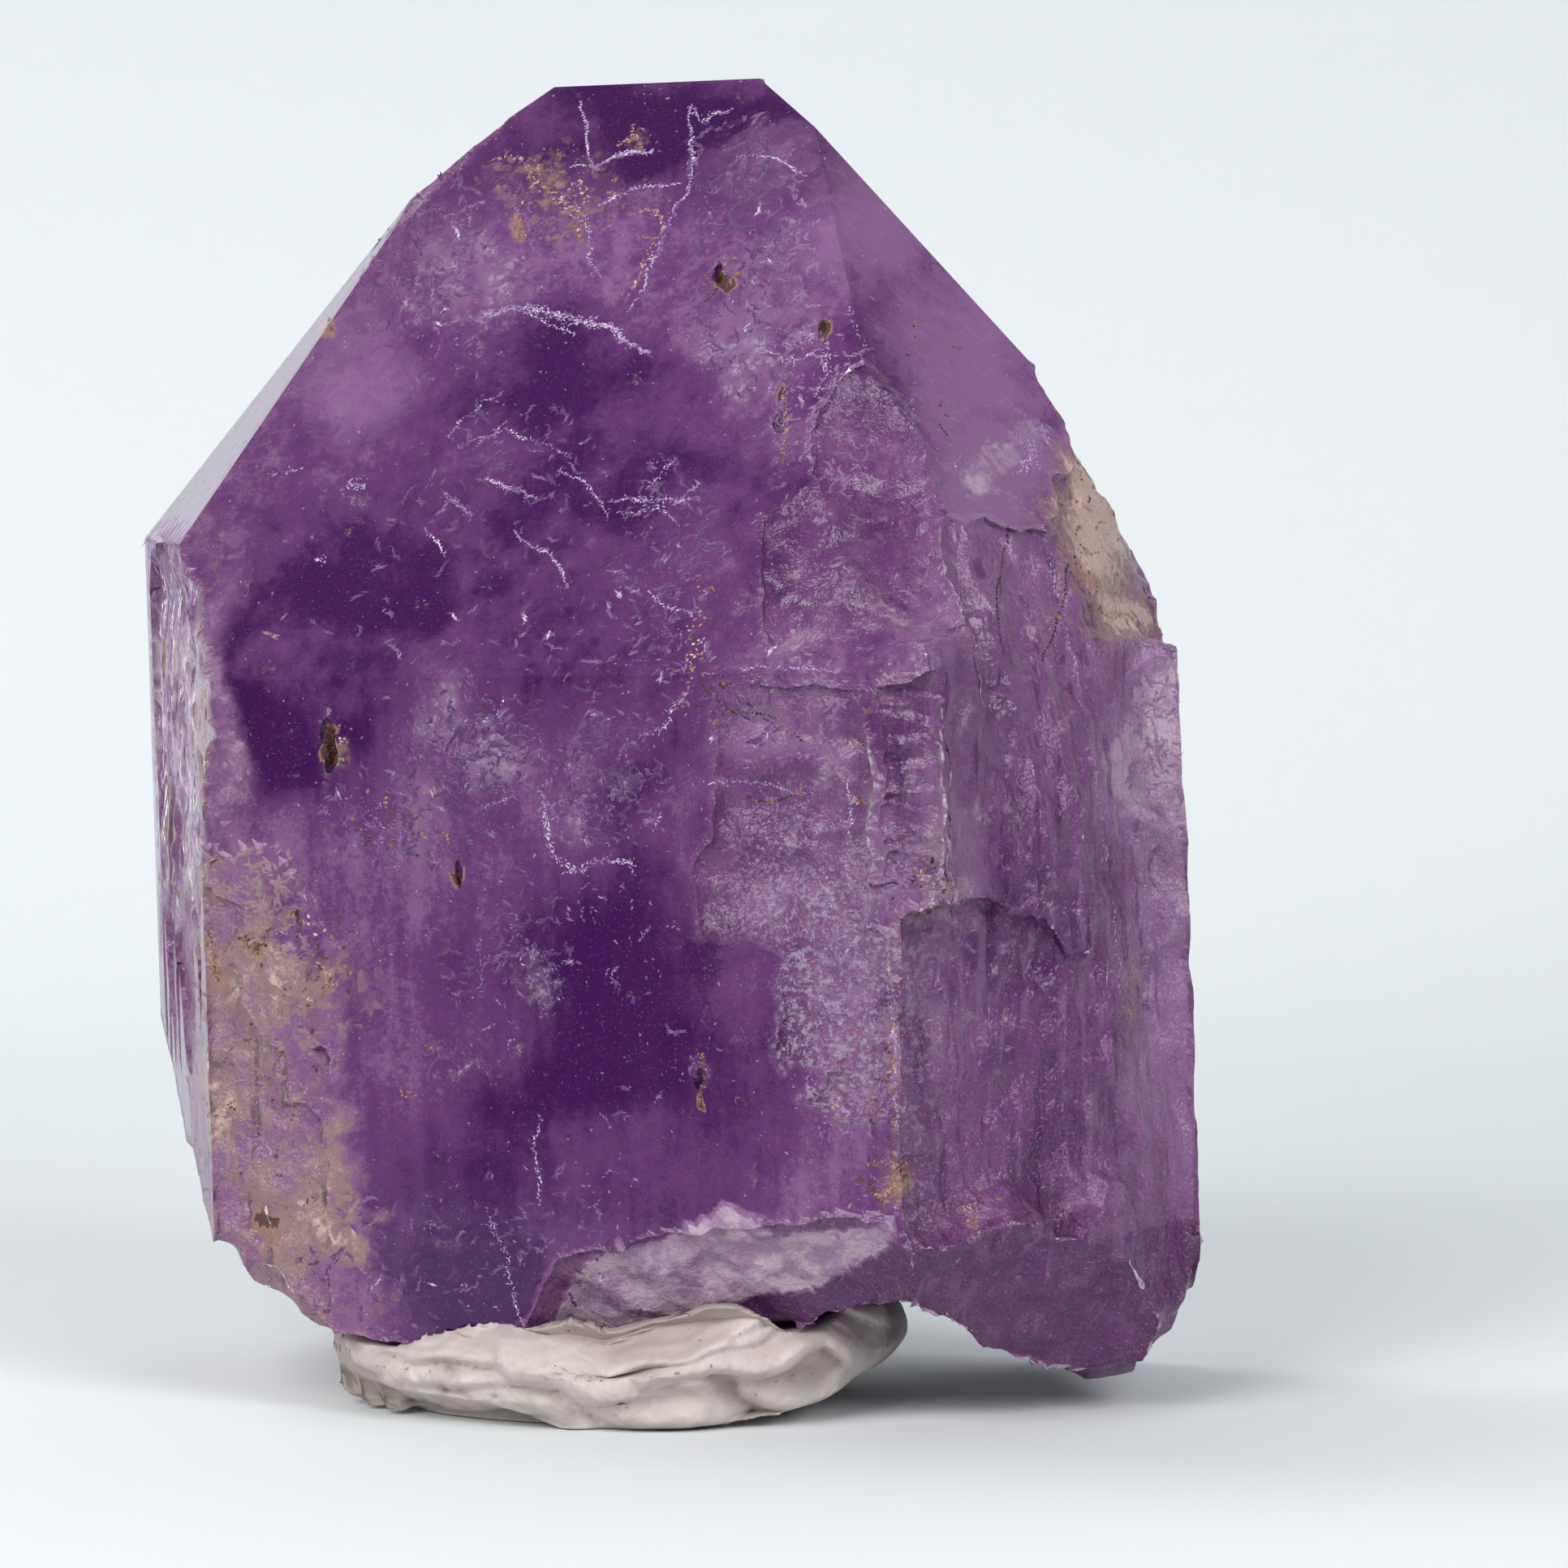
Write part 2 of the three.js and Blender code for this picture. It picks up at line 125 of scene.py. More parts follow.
# Seen from behind, the paper is clear, so that it hides nothing.
unseen = paper_tree.nodes.new("ShaderNodeBsdfTransparent")
one_sided = paper_tree.nodes.new("ShaderNodeMixShader")
paper_side = paper_tree.nodes.new("ShaderNodeNewGeometry")
paper_tree.links.new(paper_side.outputs["Backfacing"], one_sided.inputs[0])
paper_tree.links.new(paper_shader.outputs[0], one_sided.inputs[1])
paper_tree.links.new(unseen.outputs[0], one_sided.inputs[2])
paper_output = next(n for n in paper_tree.nodes if n.type == "OUTPUT_MATERIAL")
paper_tree.links.new(one_sided.outputs[0], paper_output.inputs["Surface"])
paper_material.use_transparent_shadow = False
paper.data.materials.append(paper_material)


def softbox(name, place, size, power, tint):
    """A round area lamp that faces the crystal's heart."""
    lamp = bpy.data.lights.new(name, "AREA")
    lamp.shape = "DISK"
    lamp.size = size
    lamp.energy = power
    lamp.color = tint
    holder = bpy.data.objects.new(name, lamp)
    holder.location = place
    holder.rotation_euler = (HEART - Vector(place)).to_track_quat("-Z", "Y").to_euler()
    bpy.context.scene.collection.objects.link(holder)


for lamp in SOFTBOXES:
    softbox(*lamp)
# The studio is bright at the sides and behind, but dark behind the camera and overhead, so the
# glossy faces mirror no haze.
world = bpy.data.worlds.new("studio")
world.use_nodes = True
studio = world.node_tree
facing = studio.nodes.new("ShaderNodeSeparateXYZ")
studio.links.new(studio.nodes.new("ShaderNodeTexCoord").outputs["Generated"], facing.inputs[0])
brightness = []
for axis, *limits in STUDIO_DIMMERS:
    dimmer = studio.nodes.new("ShaderNodeMapRange")
    for socket, value in zip(dimmer.inputs[1:5], limits):
        socket.default_value = value
    studio.links.new(facing.outputs[axis], dimmer.inputs[0])
    brightness.append(dimmer.outputs[0])
dimmed = brightness[0]
for other in brightness[1:]:
    product = studio.nodes.new("ShaderNodeMath")
    product.operation = "MULTIPLY"
    studio.links.new(dimmed, product.inputs[0])
    studio.links.new(other, product.inputs[1])
    dimmed = product.outputs[0]
studio.nodes["Background"].inputs["Color"].default_value = STUDIO_TINT
studio.links.new(dimmed, studio.nodes["Background"].inputs["Strength"])
bpy.context.scene.world = world

# The crystal, one piece of violet quartz.
# Its big faces grew flat and glossy. Its base, its right shoulder and its corners are broken, and
# these breaks are rough, frosted or fluted. It only stands in the putty under it.
GROWN_AREA = 40 * MM * MM  # a flat patch larger than this is a face that grew
FLAT = 3e-6
ON_FACE = 2e-5
NO_WIDTH = 1.5e-5  # a break's triangle narrower than this is a sliver
FRONT_CELL = 0.6 * MM
BREAK_CELL = 0.36 * MM
HIDDEN_BREAK_CELL = 2.4 * BREAK_CELL
BACK_CELL = 1.3 * MM
BACK_STARTS = 12 * MM
LEANS_TO_FRONT = -0.15  # a normal's y under this, or its x over the next, counts as seen
LEANS_TO_RIGHT = 0.6
ROW_HEIGHT = 0.866  # of a cell, in a grid of triangles
GRID_SHAKE = 0.12  # of a cell
crystal_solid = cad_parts["crystal"]


def merged_copy(solid):
    """A copy of a solid's triangles with their shared corners joined. The solid isn't touched."""
    copy = bmesh.new()
    copy.from_mesh(solid.data)
    bmesh.ops.remove_doubles(copy, verts=copy.verts, dist=1e-6)
    copy.normal_update()
    for part in (copy.verts, copy.edges, copy.faces):
        part.index_update()
        part.ensure_lookup_table()
    return copy


def grown_patches(stone):
    """The grown face that each triangle belongs to, or -1 on a break, and how many there are."""
    patch = [None] * len(stone.faces)
    count = 0
    for seed in sorted(stone.faces, key=lambda face: -face.calc_area()):
        if patch[seed.index] is not None:
            continue
        normal = seed.normal.copy()
        level = normal.dot(seed.verts[0].co)
        found = {seed.index}
        edge_of_search = [seed]
        while edge_of_search:
            for edge in edge_of_search.pop().edges:
                for face in edge.link_faces:
                    if face.index in found or patch[face.index] is not None:
                        continue
                    if max(abs(normal.dot(v.co) - level) for v in face.verts) < FLAT:
                        found.add(face.index)
                        edge_of_search.append(face)
        area = sum(stone.faces[i].calc_area() for i in found)
        number = count if area > GROWN_AREA else -1
        count += number >= 0
        for i in found:
            patch[i] = number
    return patch, count


def grid_inside(low, high, cell, seed):
    """Points of a slightly uneven triangular grid, in millimetres."""
    draw = random.Random(seed)
    rows = int((high[1] - low[1]) / (ROW_HEIGHT * cell))
    columns = int((high[0] - low[0]) / cell)
    points = []
    for row in range(1, rows + 1):
        for column in range(columns + 1):
            u = low[0] + (column + 0.5 * (row % 2)) * cell
            u += draw.uniform(-GRID_SHAKE, GRID_SHAKE) * cell
            v = low[1] + ROW_HEIGHT * row * cell + draw.uniform(-GRID_SHAKE, GRID_SHAKE) * cell
            points.append((u, v))
    return points


def refined(stone):
    """Fine, even triangles on every face, with the solid's own edges kept.

    It gives the points, the triangles, which points are on a grown face and which on a break, and
    the grown faces' planes as a normal and a level in millimetres."""
    patch, count = grown_patches(stone)
    cell_of = []
    for face in stone.faces:
        in_front = face.normal.y < LEANS_TO_FRONT or face.normal.x > LEANS_TO_RIGHT
        if patch[face.index] >= 0:
            cell_of.append(FRONT_CELL if in_front else BACK_CELL)
        else:
            hidden = face.calc_center_median().y >= BACK_STARTS
            cell_of.append(HIDDEN_BREAK_CELL if hidden else BREAK_CELL)
    points = [v.co.copy() for v in stone.verts]
    along = {}
    for edge in stone.edges:
        ends = [v.index for v in edge.verts]
        cell = min(cell_of[face.index] for face in edge.link_faces)
        steps = max(1, round(edge.calc_length() / cell))
        inner = []
        for step in range(1, steps):
            inner.append(len(points))
            points.append(edge.verts[0].co.lerp(edge.verts[1].co, step / steps))
        along[tuple(ends)] = [ends[0], *inner, ends[1]]

    def walk(a, b):
        return along[(a, b)] if (a, b) in along else along[(b, a)][::-1]

    triangles = []

    def zip_sliver(ahead, back):
        """Triangles between a face's longest edge and its two others, for a face with no width."""
        back = back[::-1]
        i = j = 0
        while i + 1 < len(ahead) or j + 1 < len(back):
            behind = (i + 1) * len(back) <= (j + 1) * len(ahead)
            if j + 1 == len(back) or behind and i + 1 < len(ahead):
                triangles.append([ahead[i], ahead[i + 1], back[j]])
                i += 1
            else:
                triangles.append([ahead[i], back[j + 1], back[j]])
                j += 1

    def fill(outline, normal, cell, seed, roomy):
        """Triangles inside an outline of directed point pairs, with a grid of points between."""
        side = normal.orthogonal().normalized()
        up = normal.cross(side)
        local = {}
        coordinates = []
        for index in (i for pair in outline for i in pair):
            if index not in local:
                local[index] = len(coordinates)
                coordinates.append(Vector((points[index].dot(side), points[index].dot(up))) / MM)
        owners = list(local)
        level = normal.dot(points[owners[0]])
        near = KDTree(len(coordinates))
        for i, place in enumerate(coordinates):
            near.insert(place.to_3d(), i)
        near.balance()
        low = [min(place[i] for place in coordinates) for i in (0, 1)]
        high = [max(place[i] for place in coordinates) for i in (0, 1)]
        for u, v in grid_inside(low, high, cell / MM, seed):
            spot = Vector((u, v))
            if near.find(spot.to_3d())[2] > 0.5 * cell / MM and roomy(spot, side, up, level):
                owners.append(None)
                coordinates.append(spot)
        rim = [(local[i], local[j]) for i, j in outline]
        made = delaunay_2d_cdt(coordinates, rim, [], 0, 1e-5)
        numbers = []
        for place, origin in zip(made[0], made[3]):
            owner = next((owners[i] for i in origin if owners[i] is not None), None)
            if owner is None:
                owner = len(points)
                points.append((side * place.x + up * place.y) * MM + normal * level)
            numbers.append(owner)
        rims = set(outline)
        found = [[numbers[i] for i in triangle] for triangle in made[2]]
        owner_of = {(t[k - 1], t[k]): n for n, t in enumerate(found) for k in range(3)}
        waiting = [owner_of[pair] for pair in rims if pair in owner_of]
        inside = set(waiting)
        while waiting:
            t = found[waiting.pop()]
            for k in range(3):
                a, b = t[k - 1], t[k]
                beyond = owner_of.get((b, a))
                if (a, b) in rims or (b, a) in rims or beyond is None or beyond in inside:
                    continue
                inside.add(beyond)
                waiting.append(beyond)
        triangles.extend(found[n] for n in sorted(inside))

    planes = []
    for number in range(count):
        members = [f for f in stone.faces if patch[f.index] == number]
        member_set = {f.index for f in members}
        normal = max(members, key=lambda f: f.calc_area()).normal.copy()
        planes.append((np.array(normal), normal.dot(members[0].verts[0].co) / MM))
        outline = []
        for face in members:
            for loop in face.loops:
                if sum(f.index in member_set for f in loop.edge.link_faces) == 1:
                    chain = walk(loop.vert.index, loop.link_loop_next.vert.index)
                    outline += list(zip(chain, chain[1:]))
        tree = BVHTree.FromPolygons([v.co for v in stone.verts],
                                    [[v.index for v in f.verts] for f in members])

        def roomy(spot, side, up, level):
            place = (side * spot.x + up * spot.y) * MM + normal * level
            return tree.find_nearest(place)[3] < ON_FACE

        fill(outline, normal, cell_of[members[0].index], number, roomy)

    first_broken = len(triangles)
    for face in stone.faces:
        if patch[face.index] >= 0:
            continue
        chains = [walk(loop.vert.index, loop.link_loop_next.vert.index) for loop in face.loops]
        longest = max(range(3), key=lambda i: face.loops[i].edge.calc_length())
        length = face.loops[longest].edge.calc_length()
        if 2 * face.calc_area() < NO_WIDTH * length:
            zip_sliver(chains[longest], chains[longest - 2][:-1] + chains[longest - 1])
            continue
        ring = [index for chain in chains for index in chain[:-1]]
        if len(ring) == 3:
            triangles.append(ring)
            continue
        corners = [v.co for v in face.verts]
        cell = cell_of[face.index]

        def roomy(spot, side, up, level):
            a, b, c = [Vector((p.dot(side), p.dot(up))) / MM for p in corners]
            turns = [(b - a).cross(spot - a), (c - b).cross(spot - b), (a - c).cross(spot - c)]
            return min(turns) > 0 and 2 * face.calc_area() > cell * length * 0.8

        fill(list(zip(ring, ring[1:] + ring[:1])), face.normal.copy(), cell, face.index, roomy)

    triangles = np.array(triangles)
    real = (triangles[:, 0] != triangles[:, 1]) & (triangles[:, 1] != triangles[:, 2])
    real &= triangles[:, 2] != triangles[:, 0]
    flags = []
    for part in (triangles[:first_broken], triangles[first_broken:]):
        flags.append(np.zeros(len(points), bool))
        flags[-1][part] = True
    return np.array(points), triangles[real], *flags, planes


# Zones of colour, each as ((x, z), (half width, half height), strength) in millimetres.
DEEP_VIOLET = [((12.7, 73), (0.35, 8), 0.55), ((0.8, 81.6), (8, 3.4), 1.25),
               ((-2.8, 83), (3.8, 3.2), 1.2), ((-6.6, 64.4), (6.8, 4.2), 0.9),
               ((-18.8, 52.1), (6.7, 4.6), 0.95), ((-15.6, 50.2), (3.1, 3.1), 1.0),
               ((-22.7, 44.6), (6.1, 3.1), 0.9), ((-2.3, 58.8), (6.7, 3.6), 0.7),
               ((-8.4, 53.8), (4.6, 3.1), 0.6), ((-5.2, 50.3), (7.6, 3), 0.55),
               ((-2.1, 26.2), (7.5, 7.5), 0.9), ((-4.2, 22.6), (6.5, 4.5), 1.0),
               ((1.4, 31.4), (3.5, 3.5), 0.8), ((-8.3, 21.4), (4.5, 4), 0.7),
               ((-0.1, 40.9), (2.5, 4.5), 0.7), ((-12.5, 10), (5.1, 3), 0.5),
               ((15.4, 41.2), (1.7, 4.5), 0.5), ((24.3, 31), (3.2, 9), 0.75),
               ((25.5, 16), (3.8, 6), 0.95), ((-10, 56), (14, 8), 0.32),
               ((-8, 47.5), (10, 4), 0.3), ((-13, 8.5), (5.5, 4.5), 1.15),
               ((-26, 48.5), (3, 4), 0.75), ((-0.5, 53.5), (4, 5), 0.35),
               ((10, 55.5), (3, 4), 0.6), ((12.8, 65), (2, 3), 0.5), ((7, 38.5), (3.5, 3), 0.3),
               ((-5, 15), (6, 6), 0.45), ((16, 27.1), (0.7, 6), 0.7), ((22, 9.5), (9, 3.5), 1.0),
               ((6.4, 55.9), (1, 5.1), 0.5), ((15.7, 68.1), (2.1, 3.1), 0.4),
               ((18.7, 59.9), (3.1, 1.3), 0.45), ((6, 77), (5, 3), 0.35),
               ((-11, 14.5), (8.5, 6.5), 0.62), ((2, 17), (7, 3), 0.35)]
MILKY = [((-13.3, 24), (3, 2.5), 0.35), ((-19, 57.5), (2.5, 3), 0.35),
         ((-13.3, 72.3), (4.8, 5.3), 0.6), ((-15.5, 74.5), (3.2, 3.2), 0.6),
         ((8.2, 71.2), (4.2, 6.3), 0.4), ((4.8, 68.1), (3.1, 2.1), 0.7),
         ((-10.3, 42.3), (3, 3.5), 0.85), ((-3.1, 39.4), (4, 3.5), 0.5),
         ((-8.3, 27.8), (2.5, 3.5), 0.55), ((-15.7, 38.1), (2.5, 2.5), 0.55),
         ((10, 24.1), (3, 6), 0.45), ((-27.7, 46.5), (1.3, 8.2), 0.6),
         ((31.6, 38.2), (2.6, 10.3), 0.7), ((-25, 22.9), (4.6, 12.8), 0.4),
         ((27, 57), (4, 6), 0.4), ((23.7, 61.4), (1.5, 2), 0.9), ((16.9, 34.3), (2, 2.4), 0.9),
         ((8.4, 46.5), (2, 1.5), 0.6), ((9.2, 38), (1, 1.6), 0.6)]
LILAC = [((9.5, 60.5), (4.6, 2.6), 0.45), ((20, 53), (5, 8), 0.5), ((18.3, 38), (2.4, 5), 0.7),
         ((31.5, 43), (3.4, 9), 1.45), ((34.2, 38), (1.6, 26), 1.2), ((32, 26), (3.0, 8), 1.25),
         ((19, 66), (5, 6), 0.8), ((27, 38), (3, 12), 0.35), ((21, 59.5), (4, 3), 1.25),
         ((24, 45), (4, 9), 0.4), ((7, 78.5), (3, 4), 0.45), ((5, 16), (3, 3), 0.3),
         ((7.5, 43.5), (3.4, 2.4), 0.7), ((10.5, 41.5), (2.5, 2.5), 0.6),
         ((20, 19), (2.2, 6), 0.2), ((14, 76), (5, 6), 0.75), ((6.7, 33.5), (3.7, 2.2), 0.75),
         ((22.2, 53.8), (4.1, 7.6), 0.5), ((-27.7, 46.5), (1.6, 10), 0.7),
         ((-20, 65), (5, 4), 0.6), ((-20, 68), (4, 5), 0.5), ((12, 73), (6, 8), 0.35),
         ((31, 40), (3, 14), 0.6), ((30, 15), (4, 10), 0.35), ((-14, 14), (6, 6), 0.25),
         ((8, 45), (4, 3), 0.4), ((-12, 76), (5, 3), 0.3)]
BEIGE = [((28.6, 57), (2.9, 6), 1.45), ((30, 50.8), (2.9, 1.8), 1.45), ((-25, 24), (3.6, 6), 0.6),
         ((-24, 12), (3.5, 5), 0.6), ((-29.5, 44), (1.2, 12), 0.5),
         ((-7.2, 78.5), (3.4, 2.2), 0.45), ((-5.2, 75.8), (2.4, 1.8), 0.45),
         ((16.5, 35), (1.6, 2.4), 0.5), ((-20, 29.6), (2.6, 2.4), 0.45),
         ((-15.5, 38.5), (2, 1.5), 0.35), ((12, 21.5), (1, 1.6), 0.5)]
RUSTY = [((-6.4, 77.4), (3.4, 3.4), 0.35), ((-1.7, 81.5), (1.5, 0.7), 0.6),
         ((-9.1, 75.5), (0.6, 0.7), 0.9), ((14.8, 25), (0.5, 6), 0.55),
         ((14.7, 16.5), (1.6, 1.8), 0.65), ((19.8, 13.6), (1.1, 1.4), 0.5),
         ((30.2, 27.1), (1.2, 3.6), 0.5), ((28.5, 52.4), (2.4, 0.8), 0.6),
         ((-24.5, 12.3), (1.5, 1.6), 0.7), ((-25.4, 30.1), (1, 0.8), 0.9),
         ((-28.1, 29), (0.8, 2), 0.8), ((-20.2, 42.4), (0.7, 1.6), 0.6),
         ((-0.7, 75.7), (1.2, 1.0), 0.35), ((8.3, 61.1), (0.5, 1.0), 0.6),
         ((11.5, 20.9), (0.6, 0.8), 0.5), ((-21.5, 69.2), (1.2, 1.2), 0.7)]
# Dark brown slits, at the bottom of their pits.
SLITS = [((4.5, 71.8), (0.6, 0.6), 1.6), ((10.8, 68.9), (0.4, 0.6), 1.5),
         ((8.1, 64.4), (0.3, 0.9), 1.4), ((-20.3, 42.6), (0.4, 1.5), 1.6),
         ((3.0, 21.0), (0.3, 0.8), 1.3), ((-12.2, 34.4), (0.3, 0.6), 1.2),
         ((-22.6, 32.0), (0.3, 0.5), 1.2), ((-24.5, 12.3), (0.9, 0.4), 1.4)]
# How the breaks feel: kind, then middle and half sizes (x, y, z), grain and depth, in millimetres.
# Bark has long upright fibres, hackle has crisp curved scoops, sugar has small grains, and
# shell has wide smooth waves.
BREAKS = [("bark", (24, -18, 34), (9, 10, 24), 0.8, 0.42),
          ("hackle", (27.5, -10, 56), (5, 10, 8), 0.50, 0.75),
          ("sugar", (11.5, -25, 26), (4.5, 4, 9), 1.15, 0.42),
          ("bark", (31.5, -4, 32), (4, 14, 20), 0.7, 0.50),
          ("bark", (-27, -10, 24), (5, 7, 18), 0.8, 0.55),
          ("hackle", (-27, -10, 16), (6, 8, 9), 0.55, 0.6),
          ("hackle", (5, -22, 9), (14, 6, 5), 0.42, 0.8),
          ("hackle", (22, -16, 8), (9, 8, 7), 0.34, 0.7),
          ("shell", (9, -20, 57), (7, 12, 11), 0.16, 0.25),
          ("shell", (9, -24, 41), (7, 4, 8), 0.30, 0.22),
          ("bark", (-33, 0, 34), (3, 20, 24), 0.6, 0.5)]
BREAK_ELSEWHERE = ("hackle", 0.30, 0.55)
# How far the outlines of the breaks wander: waves per millimetre and millimetres, twice.
WANDERING = [(0.55, 0.5), (1.6, 0.15)]
SQUEEZE = 0.6  # of a pit's width
DRIFT_SEED = 7
DRIFT_ENDS, DRIFT_FADE = 14, 6  # y in mm
THIN_TIP = (16.5, 8.5)  # x and z in mm, where the two big breaks meet under the ridge
TIP_HELD, TIP_FADE = 3, 2  # mm round the thin tip
ON_PLANE = 0.01  # mm
SETTLING_ROUNDS = 40
SMOOTHING_ROUNDS = 3
SMOOTHING = 0.6
SHARP_EDGE = math.radians(28)
ZONES_END, ZONES_FADE = -6, 20  # y in mm, behind which the painted zones fade, and how slowly
WORN_SIDE, WORN_SIZE = (15, 42), (12, 24)  # middle and half size (x, z) in mm
ON_CORNER = 0.3  # of the corner's mask
IN_SLIT = 0.75  # of a slit's mask
PIT_SIZE = (1.6, 1.8)  # half width and half height in mm round a slit
SCAR_BACK = -12  # y in mm
# The underside painted dark, partly as shade over the putty: its top, its left end, and where it
# stays pale.
UNDERSIDE_TOP, UNDERSIDE_LEFT, UNDERSIDE_PALE = 12, -8, -3.5  # z, x and x in mm


def in_zone(u, half):
    """1 in the middle of a zone, falling softly to 0 outside it."""
    return np.clip(1.5 - np.abs(u) / half, 0, 1)


def zones_at(places, zones, wander):
    """The strongest of the zones at each place, with each zone's outline moved by the wander."""
    strength = np.zeros(len(places))
    for (x, z), (half_x, half_z), peak in zones:
        across = (places[:, 0] + wander[:, 0] - x) / half_x
        up = (places[:, 2] + wander[:, 1] - z) / half_z
        strength = np.maximum(strength, peak * np.exp(-0.8 * (across ** 2 + up ** 2)))
    return strength


def point_normals(places, triangles):
    """The outward normal at each point, from its triangles by their areas."""
    across = np.cross(places[triangles[:, 1]] - places[triangles[:, 0]],
                      places[triangles[:, 2]] - places[triangles[:, 0]])
    normals = np.zeros_like(places)
    for k in range(3):
        np.add.at(normals, triangles[:, k], across)
    return normals / np.maximum(np.linalg.norm(normals, axis=1, keepdims=True), 1e-12)


def relaxed(places, triangles, free, rounds):
    """The free points moved in or out of the surface, towards the middle of their neighbours."""
    sides = np.vstack([triangles[:, [0, 1]], triangles[:, [1, 2]], triangles[:, [2, 0]]])
    pairs = np.unique(np.sort(sides, axis=1), axis=0)
    places = places.copy()
    count = np.bincount(pairs.ravel(), minlength=len(places)).astype(float)[:, None]
    for _ in range(rounds):
        total = np.zeros_like(places)
        np.add.at(total, pairs[:, 0], places[pairs[:, 1]])
        np.add.at(total, pairs[:, 1], places[pairs[:, 0]])
        normals = point_normals(places, triangles)
        rise = ((total / count - places) * normals).sum(axis=1, keepdims=True)
        places += SMOOTHING * free[:, None] * rise * normals
    return places


stone = merged_copy(crystal_solid)
stone_points, stone_triangles, grown, broken, planes = refined(stone)
used = np.unique(stone_triangles)
renumber = np.zeros(len(stone_points), int)
renumber[used] = np.arange(len(used))
stone_triangles = renumber[stone_triangles]
stone_points = stone_points[used] / MM
grown, broken = grown[used], broken[used]
# The outlines of the breaks wander and the pits close up to clefts, but every grown face stays
# flat and the edges where two of them meet stay straight.
noise.seed_set(DRIFT_SEED)
drift = np.array([sum((noise.noise_vector(Vector(q) * waves) * reach
                       for waves, reach in WANDERING), Vector()) for q in stone_points])
for (x, z), _, _ in SLITS:
    gap_x, gap_z = stone_points[:, 0] - x, stone_points[:, 2] - z
    nearness = np.exp(-(gap_x ** 2 + 0.4 * gap_z ** 2) / 2)
    drift[:, 0] -= SQUEEZE * gap_x * nearness * (stone_points[:, 1] < 0)
drift *= np.clip((DRIFT_ENDS - stone_points[:, 1:2]) / DRIFT_FADE, 0, 1)
tip = np.hypot(stone_points[:, 0] - THIN_TIP[0], stone_points[:, 2] - THIN_TIP[1])[:, None]
drift *= np.clip((tip - TIP_HELD) / TIP_FADE, 0, 1)
on_planes = [(normal, np.abs(stone_points @ normal - level) < ON_PLANE) for normal, level in planes]
for _ in range(SETTLING_ROUNDS):
    for normal, on in on_planes:
        drift[on] -= np.outer(drift[on] @ normal, normal)
stone_points += drift
free = (broken & ~grown).astype(float)
stone_points = relaxed(stone_points, stone_triangles, free, SMOOTHING_ROUNDS)
stone_normals = point_normals(stone_points, stone_triangles)


def worn(kind, place, grain):
    """How deep one spot of a break of some kind lies, from 0 to about 1."""
    x, y, z = place * grain
    if kind == "bark":
        coarse = noise.voronoi(Vector((x, y, 0.07 * z)))[0]
        fibres = noise.noise(Vector((3.1 * x, 3.1 * y, 0.22 * z)))
        return 0.72 * (1 - (coarse[1] - coarse[0])) + 0.3 * fibres
    if kind == "hackle":
        scoop = noise.voronoi(Vector((x, y, z)))[0]
        chips = noise.voronoi(Vector((2.7 * x, 2.7 * y, 2.7 * z)))[0]
        return 1.0 - 0.8 * scoop[0] - 0.35 * chips[0]
    if kind == "sugar":
        grains = noise.voronoi(Vector((x, y, z)))[0]
        return 0.9 * grains[0] + 0.3 * noise.noise(Vector((0.4 * x, 0.4 * y, 0.4 * z)))
    wave = noise.voronoi(Vector((x, y, 1.3 * z)))[0][0]
    ripples = 0.15 * noise.noise(Vector((6 * x, 6 * y, 6 * z)))
    return 0.8 * wave + 0.16 * math.sin(16 * wave) + ripples


def inside_outline(x, z, outline):
    """Whether each point lies inside a closed outline."""
    result = np.zeros(len(x), bool)
    for (x0, z0), (x1, z1) in zip(outline, outline[1:] + outline[:1]):
        crosses = (z0 > z) != (z1 > z)
        result ^= crosses & (x < x0 + (z - z0) * (x1 - x0) / (z1 - z0 if z1 != z0 else 1e-9))
    return result


# The lower left corner: a broken, brownish pink mass, clear of violet.
LEFT_CORNER = [(-31, 37), (-26, 36), (-22.5, 31), (-20.5, 28), (-21.5, 22), (-20, 17), (-18, 9.5),
               (-17, 4), (-31, 4)]
CORNER_STEPS = [-2.0, -1.2, -0.4, 0.4, 1.2]  # shifts in mm, over which its side fades
ragged = np.array([noise.noise(Vector(q) * 0.45) * 2.2 + noise.noise(Vector(q) * 1.4) * 1.1
                   for q in stone_points])
ragged_x, ragged_z = stone_points[:, 0] + ragged, stone_points[:, 2] + ragged
corner = sum(inside_outline(ragged_x + shift, ragged_z, LEFT_CORNER) / len(CORNER_STEPS)
             for shift in CORNER_STEPS)
corner *= stone_points[:, 1] < 0
on_corner = (corner > ON_CORNER) & ~broken
sink = np.zeros(len(stone_points))
feel = {kind: np.zeros(len(stone_points)) for kind in ("bark", "sugar")}
for i in np.nonzero(broken | on_corner)[0]:
    place = stone_points[i]
    weights = depth = 0.0
    for kind, centre, half, grain, amount in BREAKS:
        near = min(1.0, min(max(1.7 - abs(place[k] - centre[k]) / half[k], 0) for k in range(3)))
        if near > 0:
            depth += near * amount * worn(kind, place, grain)
            weights += near
            if kind in feel:
                feel[kind][i] = max(feel[kind][i], near)
    if weights < 1:
        kind, grain, amount = BREAK_ELSEWHERE
        depth += (1 - weights) * amount * worn(kind, place, grain)
        weights = 1
    sink[i] = free[i] * max(depth / weights, 0)
stone_points -= stone_normals * sink[:, None]
stone_normals = point_normals(stone_points, stone_triangles)

# Slow waves from about -1 to 1: two that move the zones' outlines, and one that colours the back.
wander = np.array([(noise.noise(Vector(q) * 0.16),
                    noise.noise(Vector(q) * 0.16 + Vector((9, 4, 2))),
                    noise.noise(Vector(q) * 0.07 + Vector((3, 8, 5)))) for q in stone_points])
front = in_zone(np.maximum(stone_points[:, 1] - ZONES_END, 0), ZONES_FADE)
far = 1 - front


